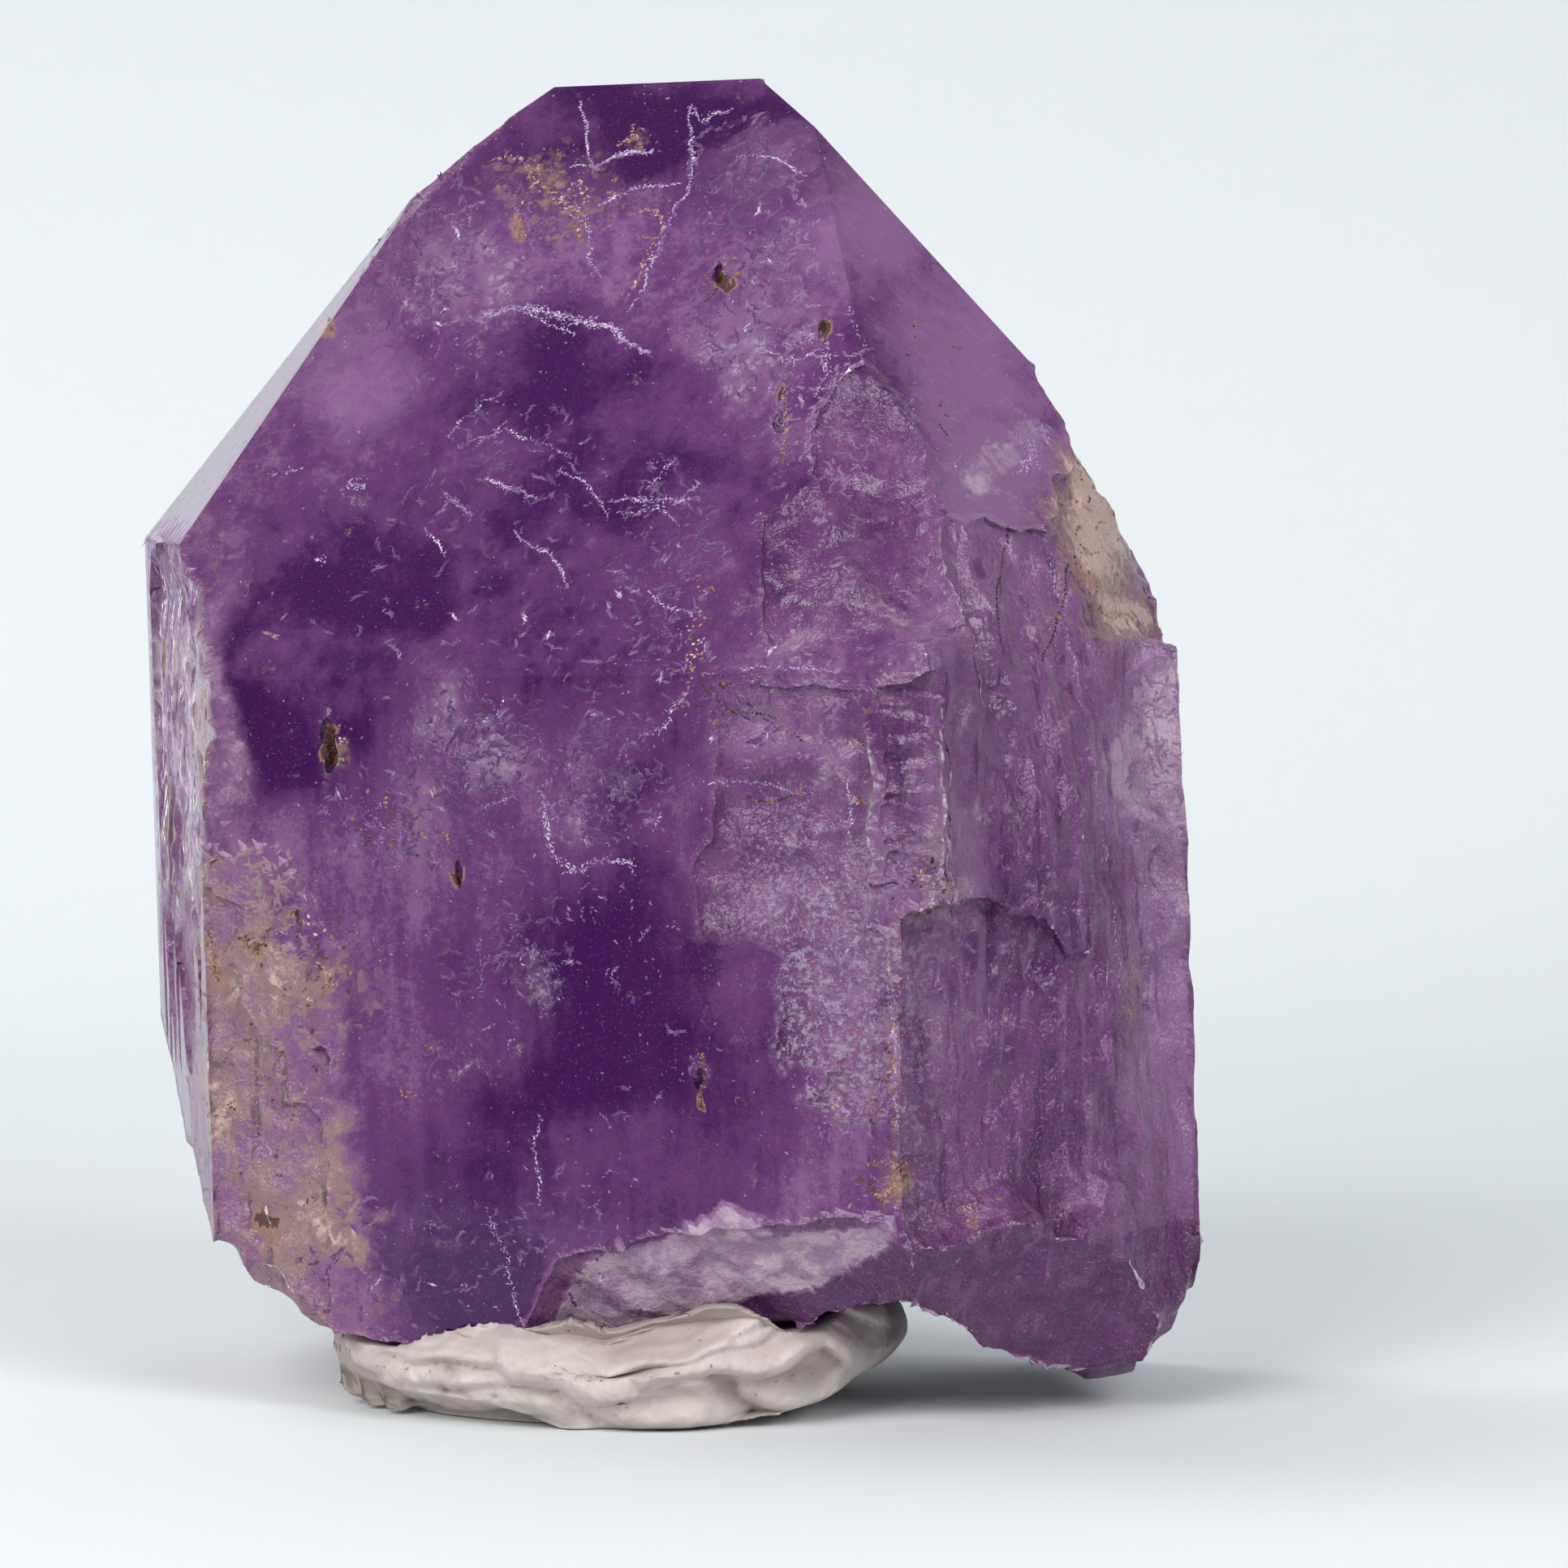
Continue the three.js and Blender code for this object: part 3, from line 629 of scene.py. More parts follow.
def front_zones(zones, reach):
    """The zones at every point of the front, with outlines that wander so many millimetres."""
    return zones_at(stone_points, zones, wander * reach) * front


violet = front_zones(DEEP_VIOLET, 5) + far * (0.35 + 0.9 * wander[:, 2])
milk = front_zones(MILKY, 4) + far * np.clip(0.9 * wander[:, 0], 0, 1)
lilac = front_zones(LILAC, 3) + far * np.clip(0.2 + wander[:, 2], 0, 1)
beige = front_zones(BEIGE, 3) + far * np.clip(wander[:, 1] - 0.2, 0, 1)
rust = front_zones(RUSTY, 1.5) + far * np.clip(wander[:, 1] - 0.35, 0, 1)
rust = np.where(front_zones(SLITS, 0) > IN_SLIT, 1.3, rust)
frost = np.where(broken, 1.0, np.where(on_corner, 0.6, 0.0))
# The worn right front is etched unevenly, across its breaks and its grown parts.
etched = np.clip(0.5 + 0.35 * ragged, 0, 1)
worn_side = in_zone(stone_points[:, 0] - WORN_SIDE[0], WORN_SIZE[0])
worn_side = worn_side * in_zone(stone_points[:, 2] - WORN_SIDE[1], WORN_SIZE[1]) * front
hazed = 0.5 * worn_side * etched
frost = np.where(broken, 1 - 0.75 * worn_side * (1 - etched), np.maximum(frost, hazed))
milk = np.maximum(milk, hazed)
# The pits of the slits stay glossy and dark.
pits = [(spot, PIT_SIZE, 1) for spot, _, _ in SLITS]
in_pit = broken & (front_zones(pits, 0) > 0.5)
frost = np.where(in_pit, 0.25, frost)
lilac = np.where(in_pit, 0, lilac)
# The pale scar over the putty: only the part inside this outline (x, z) is pale. Below it the
# broken underside is dark violet, partly the stone's colour and partly painted shade over the
# putty; its left end stays pale.
PALE_SCAR = [(-6.4, 5.9), (-5.3, 8.5), (-3.5, 10.6), (-0.1, 12.1), (3.4, 14.3), (5.2, 15.0),
             (8.0, 12.9), (11.5, 13.3), (15.2, 14.3), (14.0, 11.7), (10.0, 9.0), (6.9, 8.4),
             (3.9, 6.8), (0.8, 5.9), (-2.3, 5.5)]
sway_x = stone_points[:, 0] + 0.8 * wander[:, 0]
sway_z = stone_points[:, 2] + 0.8 * wander[:, 1]
on_scar = inside_outline(sway_x, sway_z, PALE_SCAR) & (stone_points[:, 1] < SCAR_BACK)
lilac = np.where(on_scar, 1.45, lilac)
# Painted shade, with the stone's own violet: the broken underside over the putty is made dark.
underside_violet_and_shade = broken & ~on_scar & (stone_points[:, 2] < UNDERSIDE_TOP)
underside_violet_and_shade &= stone_points[:, 0] > UNDERSIDE_LEFT
violet = np.where(underside_violet_and_shade, np.where(stone_points[:, 0] < UNDERSIDE_PALE, 0.05, 0.8), violet)
lilac = np.where(underside_violet_and_shade, 0.1, lilac)
frost = np.where(on_scar, 1, frost)
beige = np.maximum(beige, corner * (0.42 + 0.8 * wander[:, 1]))
lilac = np.maximum(lilac, corner * (0.2 + 0.8 * wander[:, 0]))
violet *= 1 - 0.9 * corner
# The walls at the far left and right: nearly colourless, flaky quartz with brown lines. On the
# walls that face left, the pale paint is also a painted reflection of the bright studio beside
# them.
flaky_and_sheen = np.clip((-stone_normals[:, 0] - 0.75) * 8, 0, 1)
flaky_and_sheen *= np.clip((52 - stone_points[:, 2]) / 4, 0.35, 1)
flaky_and_sheen *= np.clip((stone_points[:, 2] - 26) / 8, 0.15, 1)
flaky_and_sheen = np.maximum(flaky_and_sheen, 0.05 * np.clip((stone_normals[:, 0] - 0.6) * 6, 0, 1) * broken
                   * np.clip((stone_points[:, 2] - 8) / 10, 0, 1))

crystal_mesh = bpy.data.meshes.new("crystal")
crystal_mesh.from_pydata((stone_points * MM).tolist(), [], stone_triangles.tolist())
crystal_mesh.shade_smooth()
crystal_mesh.set_sharp_from_angle(angle=SHARP_EDGE)
for name, values in (("violet", violet), ("milk", milk), ("lilac", lilac), ("beige", beige),
                     ("rust", rust), ("frost", frost), ("flaky_and_sheen", flaky_and_sheen), *feel.items()):
    layer = crystal_mesh.attributes.new(name, "FLOAT", "POINT")
    layer.data.foreach_set("value", np.clip(values, 0, 1.5).astype(np.float32))
crystal = add_object("amethyst_crystal", crystal_mesh)

# The stone's colours, from its clear depths to the powder on its breaks.
CLEAR_VIOLET = (0.41, 0.195, 0.42, 1)
FULL_VIOLET = (0.212, 0.066, 0.252, 1)
DARKEST_VIOLET = (0.083, 0.011, 0.130, 1)
FROSTED_VIOLET = (0.45, 0.15, 0.37, 1)
SOFT_LILAC = (0.46, 0.23, 0.48, 1)
FROSTY_LILAC = (0.60, 0.375, 0.58, 1)
FROSTY_WHITE = (0.92, 0.71, 0.82, 1)
MILKY_LILAC = (0.58, 0.40, 0.57, 1)
CRISP_PLATE = (0.70, 0.55, 0.70, 1)
EARTHY_BROWN = (0.52, 0.33, 0.29, 1)
EARTHY_CREAM = (1.0, 0.71, 0.60, 1)
FLAKE_BROWN = (0.52, 0.33, 0.26, 1)
FLAKE_GREY = (0.76, 0.62, 0.68, 1)
FLAKE_WHITE_AND_SHEEN = (0.98, 0.93, 0.97, 1)
FIBRE_LILAC = (0.46, 0.26, 0.48, 1)
# Painted shade, laid into the clefts of the bark.
CLEFT_SHADE = (0.06, 0.01, 0.09, 1)
SUGAR_LILAC = (0.60, 0.50, 0.68, 1)
RUST_ORANGE = (0.60, 0.35, 0.23, 1)
RUST_BROWN = (0.13, 0.05, 0.03, 1)
THREAD_WHITE = (0.74, 0.64, 0.80, 1)
# Dust on the breaks, whose white also paints the glints.
DUST_AND_GLINT_WHITE = (0.80, 0.72, 0.84, 1)
QUARTZ_IOR = 1.544
SEEN_THROUGH = 0.5  # the share of the light that goes into the stone and not back from its skin
SPECULAR = 0.16
TINT_THROUGH = (0.42, 0.05, 0.58, 1)
ABSORPTION = 110  # per metre
RELIEF_STRENGTH = 0.6
RELIEF_DEPTH = 0.3 * MM


def add_node(tree, kind, *sources, **settings):
    """A new shader node with its first inputs linked or set in turn."""
    made = tree.nodes.new(kind)
    for key, value in settings.items():
        setattr(made, key, value)
    sockets = [socket for socket in made.inputs if socket.enabled]
    for socket, source in zip(sockets, sources):
        if isinstance(source, bpy.types.NodeSocket):
            tree.links.new(source, socket)
        elif source is not None:
            socket.default_value = source
    return made


def maths(tree, operation, *sources):
    return add_node(tree, "ShaderNodeMath", *sources, operation=operation).outputs[0]


def painted(tree, name):
    """A value that the mesh carries at its points."""
    return add_node(tree, "ShaderNodeAttribute", attribute_name=name).outputs["Fac"]


def grain_noise(tree, spot, scale, detail=4.0, rough=0.55, distort=0.0):
    """Noise from 0 to 1 with so many waves per millimetre."""
    made = add_node(tree, "ShaderNodeTexNoise")
    tree.links.new(spot, made.inputs["Vector"])
    made.inputs["Scale"].default_value = scale
    made.inputs["Detail"].default_value = detail
    made.inputs["Roughness"].default_value = rough
    made.inputs["Distortion"].default_value = distort
    return made.outputs["Fac"]


def ramp(tree, value, low, high, start=0.0, end=1.0):
    """A smooth step of a value from low to high, as start to end."""
    made = add_node(tree, "ShaderNodeMapRange", value, low, high, start, end,
                    interpolation_type="SMOOTHSTEP")
    return made.outputs[0]


def mixed(tree, factor, below, above):
    """A mix of two colours, by a factor from 0 for the first to 1 for the second."""
    made = add_node(tree, "ShaderNodeMix", data_type="RGBA")
    for number, source in ((0, factor), (6, below), (7, above)):
        socket = made.inputs[number]
        if isinstance(source, bpy.types.NodeSocket):
            tree.links.new(source, socket)
        else:
            socket.default_value = source
    return made.outputs[2]


def stretched(tree, spot, times):
    """Coordinates multiplied along each axis."""
    return add_node(tree, "ShaderNodeVectorMath", spot, times, operation="MULTIPLY").outputs[0]


def spots_in_mm(tree):
    """Object coordinates in millimetres."""
    here = add_node(tree, "ShaderNodeTexCoord").outputs["Object"]
    return stretched(tree, here, (1 / MM, 1 / MM, 1 / MM))


def swayed(tree, value, *sways):
    """A painted value made uneven by some noises, each with its weight."""
    for sway, weight in sways:
        around = maths(tree, "SUBTRACT", sway, 0.5)
        value = maths(tree, "ADD", value, maths(tree, "MULTIPLY", around, weight))
    return value


crystal_material, tree, crystal_shader = new_material("amethyst")
spot = spots_in_mm(tree)
cloud = grain_noise(tree, spot, 0.13, 2, 0.6)
patchy = grain_noise(tree, spot, 0.55, 3, 0.62)
fine = grain_noise(tree, spot, 2.4, 2, 0.65)
dust = grain_noise(tree, spot, 7.0, 1, 0.6)
frosted = painted(tree, "frost")
# Small plates with their own tones, with a painted glint, a bright mote, at the middle of some.
bent = add_node(tree, "ShaderNodeTexNoise")
tree.links.new(spot, bent.inputs["Vector"])
bent.inputs["Scale"].default_value = 0.7
bent.inputs["Detail"].default_value = 0
bent = stretched(tree, bent.outputs["Color"], (1.6, 1.6, 1.6))
bent = add_node(tree, "ShaderNodeVectorMath", spot, bent, operation="ADD").outputs[0]
veined = grain_noise(tree, bent, 0.9, 1, 0.6)
plates = add_node(tree, "ShaderNodeTexVoronoi")
tree.links.new(bent, plates.inputs["Vector"])
plates.inputs["Scale"].default_value = 1.5
each_plate = add_node(tree, "ShaderNodeSeparateColor", plates.outputs["Color"])
plate = each_plate.outputs[0]
streaks = grain_noise(tree, stretched(tree, spot, (0.8, 0.8, 0.1)), 1.0, 1, 0.6)
glint_mote = ramp(tree, plates.outputs["Distance"], 0.08, 0.14, 1, 0)
glint_mote = maths(tree, "MULTIPLY", glint_mote, ramp(tree, each_plate.outputs[1], 0.35, 0.9, 0, 0.8))

# Layer by layer: the depth of the violet, lilac and frost, milk, earth, flakes with a painted
# reflection on the left walls, fibres, painted shade in the bark's clefts, sugar, rust, threads,
# and dust with painted glints. Each ramp says over which values of its mask a layer sets in.
depth = swayed(tree, painted(tree, "violet"), (cloud, 0.7), (patchy, 0.65), (fine, 0.55),
               (streaks, 0.5), (dust, 0.45))
colour = mixed(tree, ramp(tree, depth, -0.25, 0.2), CLEAR_VIOLET, FULL_VIOLET)
colour = mixed(tree, ramp(tree, depth, 0.15, 0.75), colour, DARKEST_VIOLET)
colour = mixed(tree, maths(tree, "MULTIPLY", frosted, 0.3), colour, FROSTED_VIOLET)
soft = swayed(tree, painted(tree, "lilac"), (cloud, 0.3), (patchy, 0.35), (fine, 0.2),
              (plate, 0.15))
colour = mixed(tree, ramp(tree, soft, 0.15, 0.8, 0, 0.9), colour, SOFT_LILAC)
frosty = mixed(tree, ramp(tree, patchy, 0.38, 0.6), FROSTY_LILAC, FROSTY_WHITE)
colour = mixed(tree, ramp(tree, soft, 1.0, 1.4, 0, 0.9), colour, frosty)
milky = swayed(tree, painted(tree, "milk"), (patchy, 1.2), (fine, 0.6), (plate, 0.2), (dust, 0.45))
colour = mixed(tree, ramp(tree, milky, 0.3, 0.8, 0, 0.55), colour, MILKY_LILAC)
crisp = maths(tree, "MULTIPLY", ramp(tree, milky, 0.5, 0.8), ramp(tree, plate, 0.66, 0.74))
crisp = maths(tree, "MULTIPLY", crisp, ramp(tree, fine, 0.4, 0.62, 0.0, 0.6))
colour = mixed(tree, crisp, colour, CRISP_PLATE)
earthy = swayed(tree, painted(tree, "beige"), (patchy, 0.9), (fine, 0.5), (plate, 0.3))
colour = mixed(tree, ramp(tree, earthy, 0.2, 0.7, 0, 0.85), colour, EARTHY_BROWN)
colour = mixed(tree, ramp(tree, earthy, 0.72, 1.05, 0, 0.97), colour, EARTHY_CREAM)
flakes = grain_noise(tree, stretched(tree, spot, (0.9, 0.9, 0.09)), 1.0, 2, 0.7)
flake_and_sheen_paint = mixed(tree, ramp(tree, flakes, 0.36, 0.5), FLAKE_BROWN, FLAKE_GREY)
flake_and_sheen_paint = mixed(tree, ramp(tree, flakes, 0.50, 0.62), flake_and_sheen_paint, FLAKE_WHITE_AND_SHEEN)
# Flakes and a painted reflection: the walls that face left are painted pale.
colour = mixed(tree, maths(tree, "MULTIPLY", painted(tree, "flaky_and_sheen"), 0.95), colour, flake_and_sheen_paint)
fibre = ramp(tree, flakes, 0.52, 0.66, 0, 0.4)
colour = mixed(tree, maths(tree, "MULTIPLY", painted(tree, "bark"), fibre), colour, FIBRE_LILAC)
# Painted shade: the darkest violet goes into the bark's clefts, where its relief lies lowest.
cleft_shade = ramp(tree, flakes, 0.40, 0.33, 0, 0.5)
colour = mixed(tree, maths(tree, "MULTIPLY", painted(tree, "bark"), cleft_shade), colour, CLEFT_SHADE)
grained = maths(tree, "MULTIPLY", painted(tree, "sugar"), ramp(tree, fine, 0.5, 0.62, 0, 0.75))
colour = mixed(tree, grained, colour, SUGAR_LILAC)
rusty = swayed(tree, painted(tree, "rust"), (patchy, 0.9), (fine, 0.6))
colour = mixed(tree, ramp(tree, rusty, 0.3, 0.7, 0, 0.8), colour, RUST_ORANGE)
colour = mixed(tree, ramp(tree, rusty, 0.65, 1.0, 0, 0.92), colour, RUST_BROWN)
thread = maths(tree, "ABSOLUTE", maths(tree, "SUBTRACT", veined, 0.5))
thread = ramp(tree, thread, 0.0, 0.012, 1, 0)
thread = maths(tree, "MULTIPLY", thread, ramp(tree, milky, 0.15, 0.7, 0.0, 0.7))
thread = maths(tree, "MULTIPLY", thread, ramp(tree, patchy, 0.4, 0.6))
colour = mixed(tree, thread, colour, THREAD_WHITE)
sugar = ramp(tree, dust, 0.60, 0.74, 0, 1)
dusted = maths(tree, "ADD", maths(tree, "MULTIPLY", frosted, 0.35), 0.10)
sugar = maths(tree, "MULTIPLY", sugar, dusted)
# Painted glints: the bright motes take the dust's white.
sugar = maths(tree, "MAXIMUM", sugar, maths(tree, "MULTIPLY", glint_mote, 0.75))
colour = mixed(tree, sugar, colour, DUST_AND_GLINT_WHITE)
tree.links.new(colour, crystal_shader.inputs["Base Color"])
gloss = ramp(tree, fine, 0.3, 0.7, 0.09, 0.16)
gloss = maths(tree, "ADD", maths(tree, "MULTIPLY", frosted, 0.17), gloss)
tree.links.new(gloss, crystal_shader.inputs["Roughness"])
relief = maths(tree, "MULTIPLY", fine, maths(tree, "ADD", frosted, painted(tree, "sugar")))
flaked = maths(tree, "MULTIPLY", painted(tree, "bark"), 0.35)
flaked = maths(tree, "MAXIMUM", flaked, painted(tree, "flaky_and_sheen"))
flaked = maths(tree, "MULTIPLY", maths(tree, "MULTIPLY", flakes, 2.5), flaked)
relief = maths(tree, "ADD", relief, flaked)
bump = add_node(tree, "ShaderNodeBump")
bump.inputs["Strength"].default_value = RELIEF_STRENGTH
bump.inputs["Distance"].default_value = RELIEF_DEPTH
tree.links.new(relief, bump.inputs["Height"])
tree.links.new(bump.outputs[0], crystal_shader.inputs["Normal"])
crystal_shader.inputs["Transmission Weight"].default_value = SEEN_THROUGH
crystal_shader.inputs["IOR"].default_value = QUARTZ_IOR
crystal_shader.inputs["Specular IOR Level"].default_value = SPECULAR
haze = add_node(tree, "ShaderNodeVolumeAbsorption")
haze.inputs["Color"].default_value = TINT_THROUGH
haze.inputs["Density"].default_value = ABSORPTION
output = next(n for n in tree.nodes if n.type == "OUTPUT_MATERIAL")
tree.links.new(haze.outputs[0], output.inputs["Volume"])
crystal_mesh.materials.append(crystal_material)
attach(crystal, "root")
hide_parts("crystal")

# Healed cracks, that show as feathery white threads in the violet.
# Each is a film of tiny fluid bubbles and fibres left where a crack closed while the crystal grew.
# They grew with it: here each is a swarm of thin pale slivers, set into the skin of the stone.
SLIVER_HALF_THICKNESS = 0.022  # mm
STEP_ALONG = 0.25 * MM  # between the places along a line where slivers start
LINE_GAP = 0.2  # mm between the points of a drawn line
CAST_FROM = -0.2  # metres, well outside the stone
# Each line through (x, z) points in mm, then its half breadth in mm and its slivers per mm.
FEATHERS = [([(-11.2, 69.9), (-8.9, 70.2), (-6.2, 69.6), (-3.6, 69.1), (-0.4, 67.3)], 0.34, 60),
            ([(-8.9, 70.2), (-7.2, 69.3), (-5.4, 68.4)], 0.16, 18),
            ([(-19.7, 59.1), (-19.3, 58.9), (-18.6, 58.7)], 0.55, 70),
            ([(-25.0, 59.6), (-22.9, 59.8)], 0.28, 22), ([(-21.5, 54.2), (-21.0, 54.0)], 0.28, 40),
            ([(-11.2, 59.2), (-9.6, 58.9), (-7.5, 58.2)], 0.14, 34),
            ([(-13.5, 58.5), (-12.7, 57.7), (-11.6, 57.0)], 0.24, 34),
            ([(-6.0, 59.8), (-4.4, 59.1), (-3.3, 57.8), (-2.9, 56.8)], 0.10, 22),
            ([(-8.7, 56.1), (-7.6, 55.0), (-6.4, 54.6), (-5.2, 52.7)], 0.12, 26),
            ([(-14.5, 56.1), (-13.8, 55.3), (-13.3, 54.4)], 0.14, 24),
            ([(-2.8, 58.0), (-0.5, 58.2), (2.3, 58.2)], 0.24, 30),
            ([(-0.3, 58.7), (1.4, 60.7)], 0.18, 22),
            ([(-2.2, 57.2), (0.4, 57.4), (1.6, 56.6)], 0.15, 14),
            ([(-11.5, 61.2), (-9.8, 62.3), (-8.1, 61.8)], 0.10, 14),
            ([(-13.4, 62.0), (-11.4, 63.8), (-9.9, 64.8)], 0.10, 12),
            ([(-9.1, 61.9), (-7.2, 61.6), (-5.4, 60.7)], 0.10, 12),
            ([(-12.6, 61.2), (-11.0, 61.9), (-9.6, 62.9)], 0.08, 10),
            ([(-5.2, 84.0), (-5.1, 83.4), (-4.8, 82.3), (-4.4, 80.0), (-4.0, 79.5)], 0.09, 22),
            ([(-4.0, 79.6), (-2.6, 80.3), (-1.3, 80.6), (-0.2, 80.5)], 0.22, 60),
            ([(-5.7, 79.6), (-4.8, 79.7), (-4.1, 79.4)], 0.14, 26),
            ([(2.2, 83.5), (2.1, 81.7), (2.3, 79.9), (1.9, 77.9), (1.0, 76.6)], 0.16, 30),
            ([(1.0, 76.6), (0.4, 74.8), (-0.7, 71.9), (-1.8, 70.0)], 0.22, 20),
            ([(2.0, 83.5), (2.9, 82.6), (3.8, 83.0), (4.8, 83.1)], 0.20, 26),
            ([(-3.8, 77.0), (-1.9, 77.8), (-0.4, 78.2), (1.4, 78.3)], 0.16, 26),
            ([(5.2, 80.0), (6.9, 80.1), (8.0, 79.8), (9.1, 79.1), (9.7, 78.7)], 0.12, 20),
            ([(-6.0, 77.6), (-4.6, 75.6), (-4.2, 73.4), (-3.6, 72.2)], 0.16, 16),
            ([(-7.1, 19.6), (-7.3, 17.2), (-7.1, 14.2)], 0.10, 16),
            ([(-10.3, 13.1), (-9.4, 11.4), (-8.6, 7.8), (-8.0, 6.4)], 0.14, 16),
            ([(-6.8, 39.5), (-6.0, 36.2), (-5.0, 35.2), (-3.3, 35.8), (-1.0, 35.5)], 0.24, 26),
            ([(2.4, 46.6), (1.1, 44.5), (-0.7, 43.6)], 0.18, 20),
            ([(-0.2, 52.5), (0.7, 51.6), (2.6, 51.1)], 0.16, 20),
            ([(8.2, 65.9), (8.4, 63.5), (8.1, 62.6)], 0.10, 14),
            ([(6.3, 68.0), (8.6, 66.8), (10.6, 67.4)], 0.16, 12),
            ([(10.8, 68.4), (11.0, 66.4), (10.2, 64.6)], 0.22, 16),
            ([(12.4, 70.2), (13.2, 67.8), (12.8, 66.2)], 0.18, 12),
            ([(23.0, 61.8), (24.2, 61.2), (23.4, 60.2)], 0.6, 46),
            ([(24.6, 63.0), (25.2, 61.6)], 0.3, 26),
            ([(3.4, 47.6), (7.0, 48.0), (11.8, 47.8)], 0.08, 12),
            ([(3.6, 40.8), (6.4, 40.9), (8.4, 40.4)], 0.10, 18),
            ([(14.6, 31.6), (15.0, 26), (15.0, 20)], 0.12, 16),
            ([(12.2, 41), (12.4, 38), (12.0, 35.4)], 0.14, 14),
            ([(24.4, 57.8), (25.8, 50.7), (27.3, 43.6)], 0.2, 7),
            ([(27.3, 43.6), (28.6, 35.9), (29.7, 25.6)], 0.2, 7)]
# Loose swarms of short threads: (x, z), (half width, half height) in mm, threads.
FEATHER_CLOUDS = [((-10.3, 42.6), (3.2, 3.6), 60), ((-3.0, 39.6), (4.0, 3.2), 60),
                  ((-13.3, 72.0), (4.0, 5.0), 40), ((-8.4, 28.6), (2.6, 4.2), 40),
                  ((5.4, 68.3), (3.4, 2.6), 44), ((9.6, 64.4), (3.6, 4.2), 44),
                  ((-1.2, 31.6), (4.6, 3.6), 20), ((0.6, 49.5), (3.0, 5.4), 26),
                  ((11.6, 27), (2.6, 8.5), 110), ((17.0, 34.2), (2.0, 2.6), 50),
                  ((8.0, 43.6), (4.0, 3.6), 36), ((-24, 22), (4.0, 8.0), 60),
                  ((-6.4, 77.0), (3.6, 4.0), 50), ((-17, 37), (4.0, 3.0), 36),
                  ((31.4, 40), (1.8, 9.0), 60), ((24, 60), (2.0, 3.0), 40),
                  ((13, 14.5), (4.0, 2.6), 30), ((-10, 12), (6.0, 5.0), 18),
                  ((16.6, 60.5), (3.2, 3.6), 26), ((-4, 14), (5.0, 4.0), 12),
                  ((0, 22), (6.0, 4.0), 10)]

stone_tree = BVHTree.FromPolygons((stone_points * MM).tolist(), stone_triangles.tolist())


def on_front(x, z):
    """The place on the stone's front at x and z in millimetres, or None beside it."""
    return stone_tree.ray_cast(Vector((x * MM, CAST_FROM, z * MM)), Vector((0, 1, 0)))[0]


def on_left(y, z):
    """The place on the stone's left wall at y and z in millimetres, or None beside it."""
    return stone_tree.ray_cast(Vector((CAST_FROM, y * MM, z * MM)), Vector((1, 0, 0)))[0]


def smooth_line(line, gap):
    """A wavering curve through the points of a line, as (x, z, share of the length)."""
    ends = [line[0], *line, line[-1]]
    curve = []
    for i in range(1, len(ends) - 2):
        p0, p1, p2, p3 = [Vector(q) for q in ends[i - 1:i + 3]]
        steps = max(1, round((p2 - p1).length / gap))
        for step in range(steps):
            t = step / steps
            curve.append(0.5 * (2 * p1 + (p2 - p0) * t + (2 * p0 - 5 * p1 + 4 * p2 - p3) * t * t
                                + (3 * p1 - p0 - 3 * p2 + p3) * t * t * t))
    curve.append(Vector(line[-1]))
    waver = min(0.14, 0.05 * len(curve) * gap)
    for i, spot in enumerate(curve):
        here = Vector((spot.x * 0.9, spot.y * 0.9, 0.3 * len(curve)))
        for grain, reach in ((1, 2), (4, 1)):
            finer = here * grain
            turn = Vector((noise.noise(finer), noise.noise(finer + Vector((5, 7, 1)))))
            spot = spot + turn * waver * reach
        yield spot, i / max(1, len(curve) - 1)


def line_mesh(name, lines, seen=on_front):
    """A mesh of bare lines on one side of the stone, with half breadth, crowding and brightness."""
    points, links, breadths, crowds, brights = [], [], [], [], []
    for line, breadth, crowd, *bright in lines:
        previous = None
        for spot, share in smooth_line(line, LINE_GAP):
            place = seen(*spot)
            if place is None:
                continue
            swell = math.sin(math.pi * (0.06 + 0.88 * share)) ** 0.8
            clump = 0.5 + 0.9 * abs(noise.noise(Vector((spot.x * 1.7, spot.y * 1.7, breadth * 40))))
            points.append(place)
            breadths.append(breadth * swell * (0.8 + clump))
            crowds.append(crowd * clump)
            brights.append((bright[0] if bright else 1.0) * (0.45 + 0.55 * swell)
                           * (0.6 + 0.6 * clump))
            if previous is not None:
                links.append((previous, len(points) - 1))
            previous = len(points) - 1
    mesh = bpy.data.meshes.new(name)
    mesh.from_pydata(points, links, [])
    for title, values in (("breadth", breadths), ("crowd", crowds), ("bright", brights)):
        mesh.attributes.new(title, "FLOAT", "POINT").data.foreach_set("value", values)
    return mesh


def barbs(lines, seed, each_mm, longest):
    """Short side threads that leave the lines at a slant, as on a feather."""
    draw = random.Random(seed)
    made = []
    for line, breadth, crowd, *bright in lines:
        curve = [spot for spot, _ in smooth_line(line, LINE_GAP)]
        for a, b in zip(curve, curve[1:]):
            if draw.random() > LINE_GAP * each_mm:
                continue
            heading = math.atan2(b.y - a.y, b.x - a.x)
            heading += draw.choice((-1, 1)) * draw.uniform(0.3, 1.1)
            reach = longest * draw.uniform(0.2, 1) * min(1.0, 2.5 * breadth + 0.3)
            spot = a + Vector((draw.uniform(-1, 1), draw.uniform(-1, 1))) * breadth
            line_end = spot + Vector((math.cos(heading), math.sin(heading))) * reach
            made.append(([tuple(spot), tuple(line_end)], 0.03, draw.uniform(10, 22),
                         draw.uniform(0.2, 0.8)))
    return made


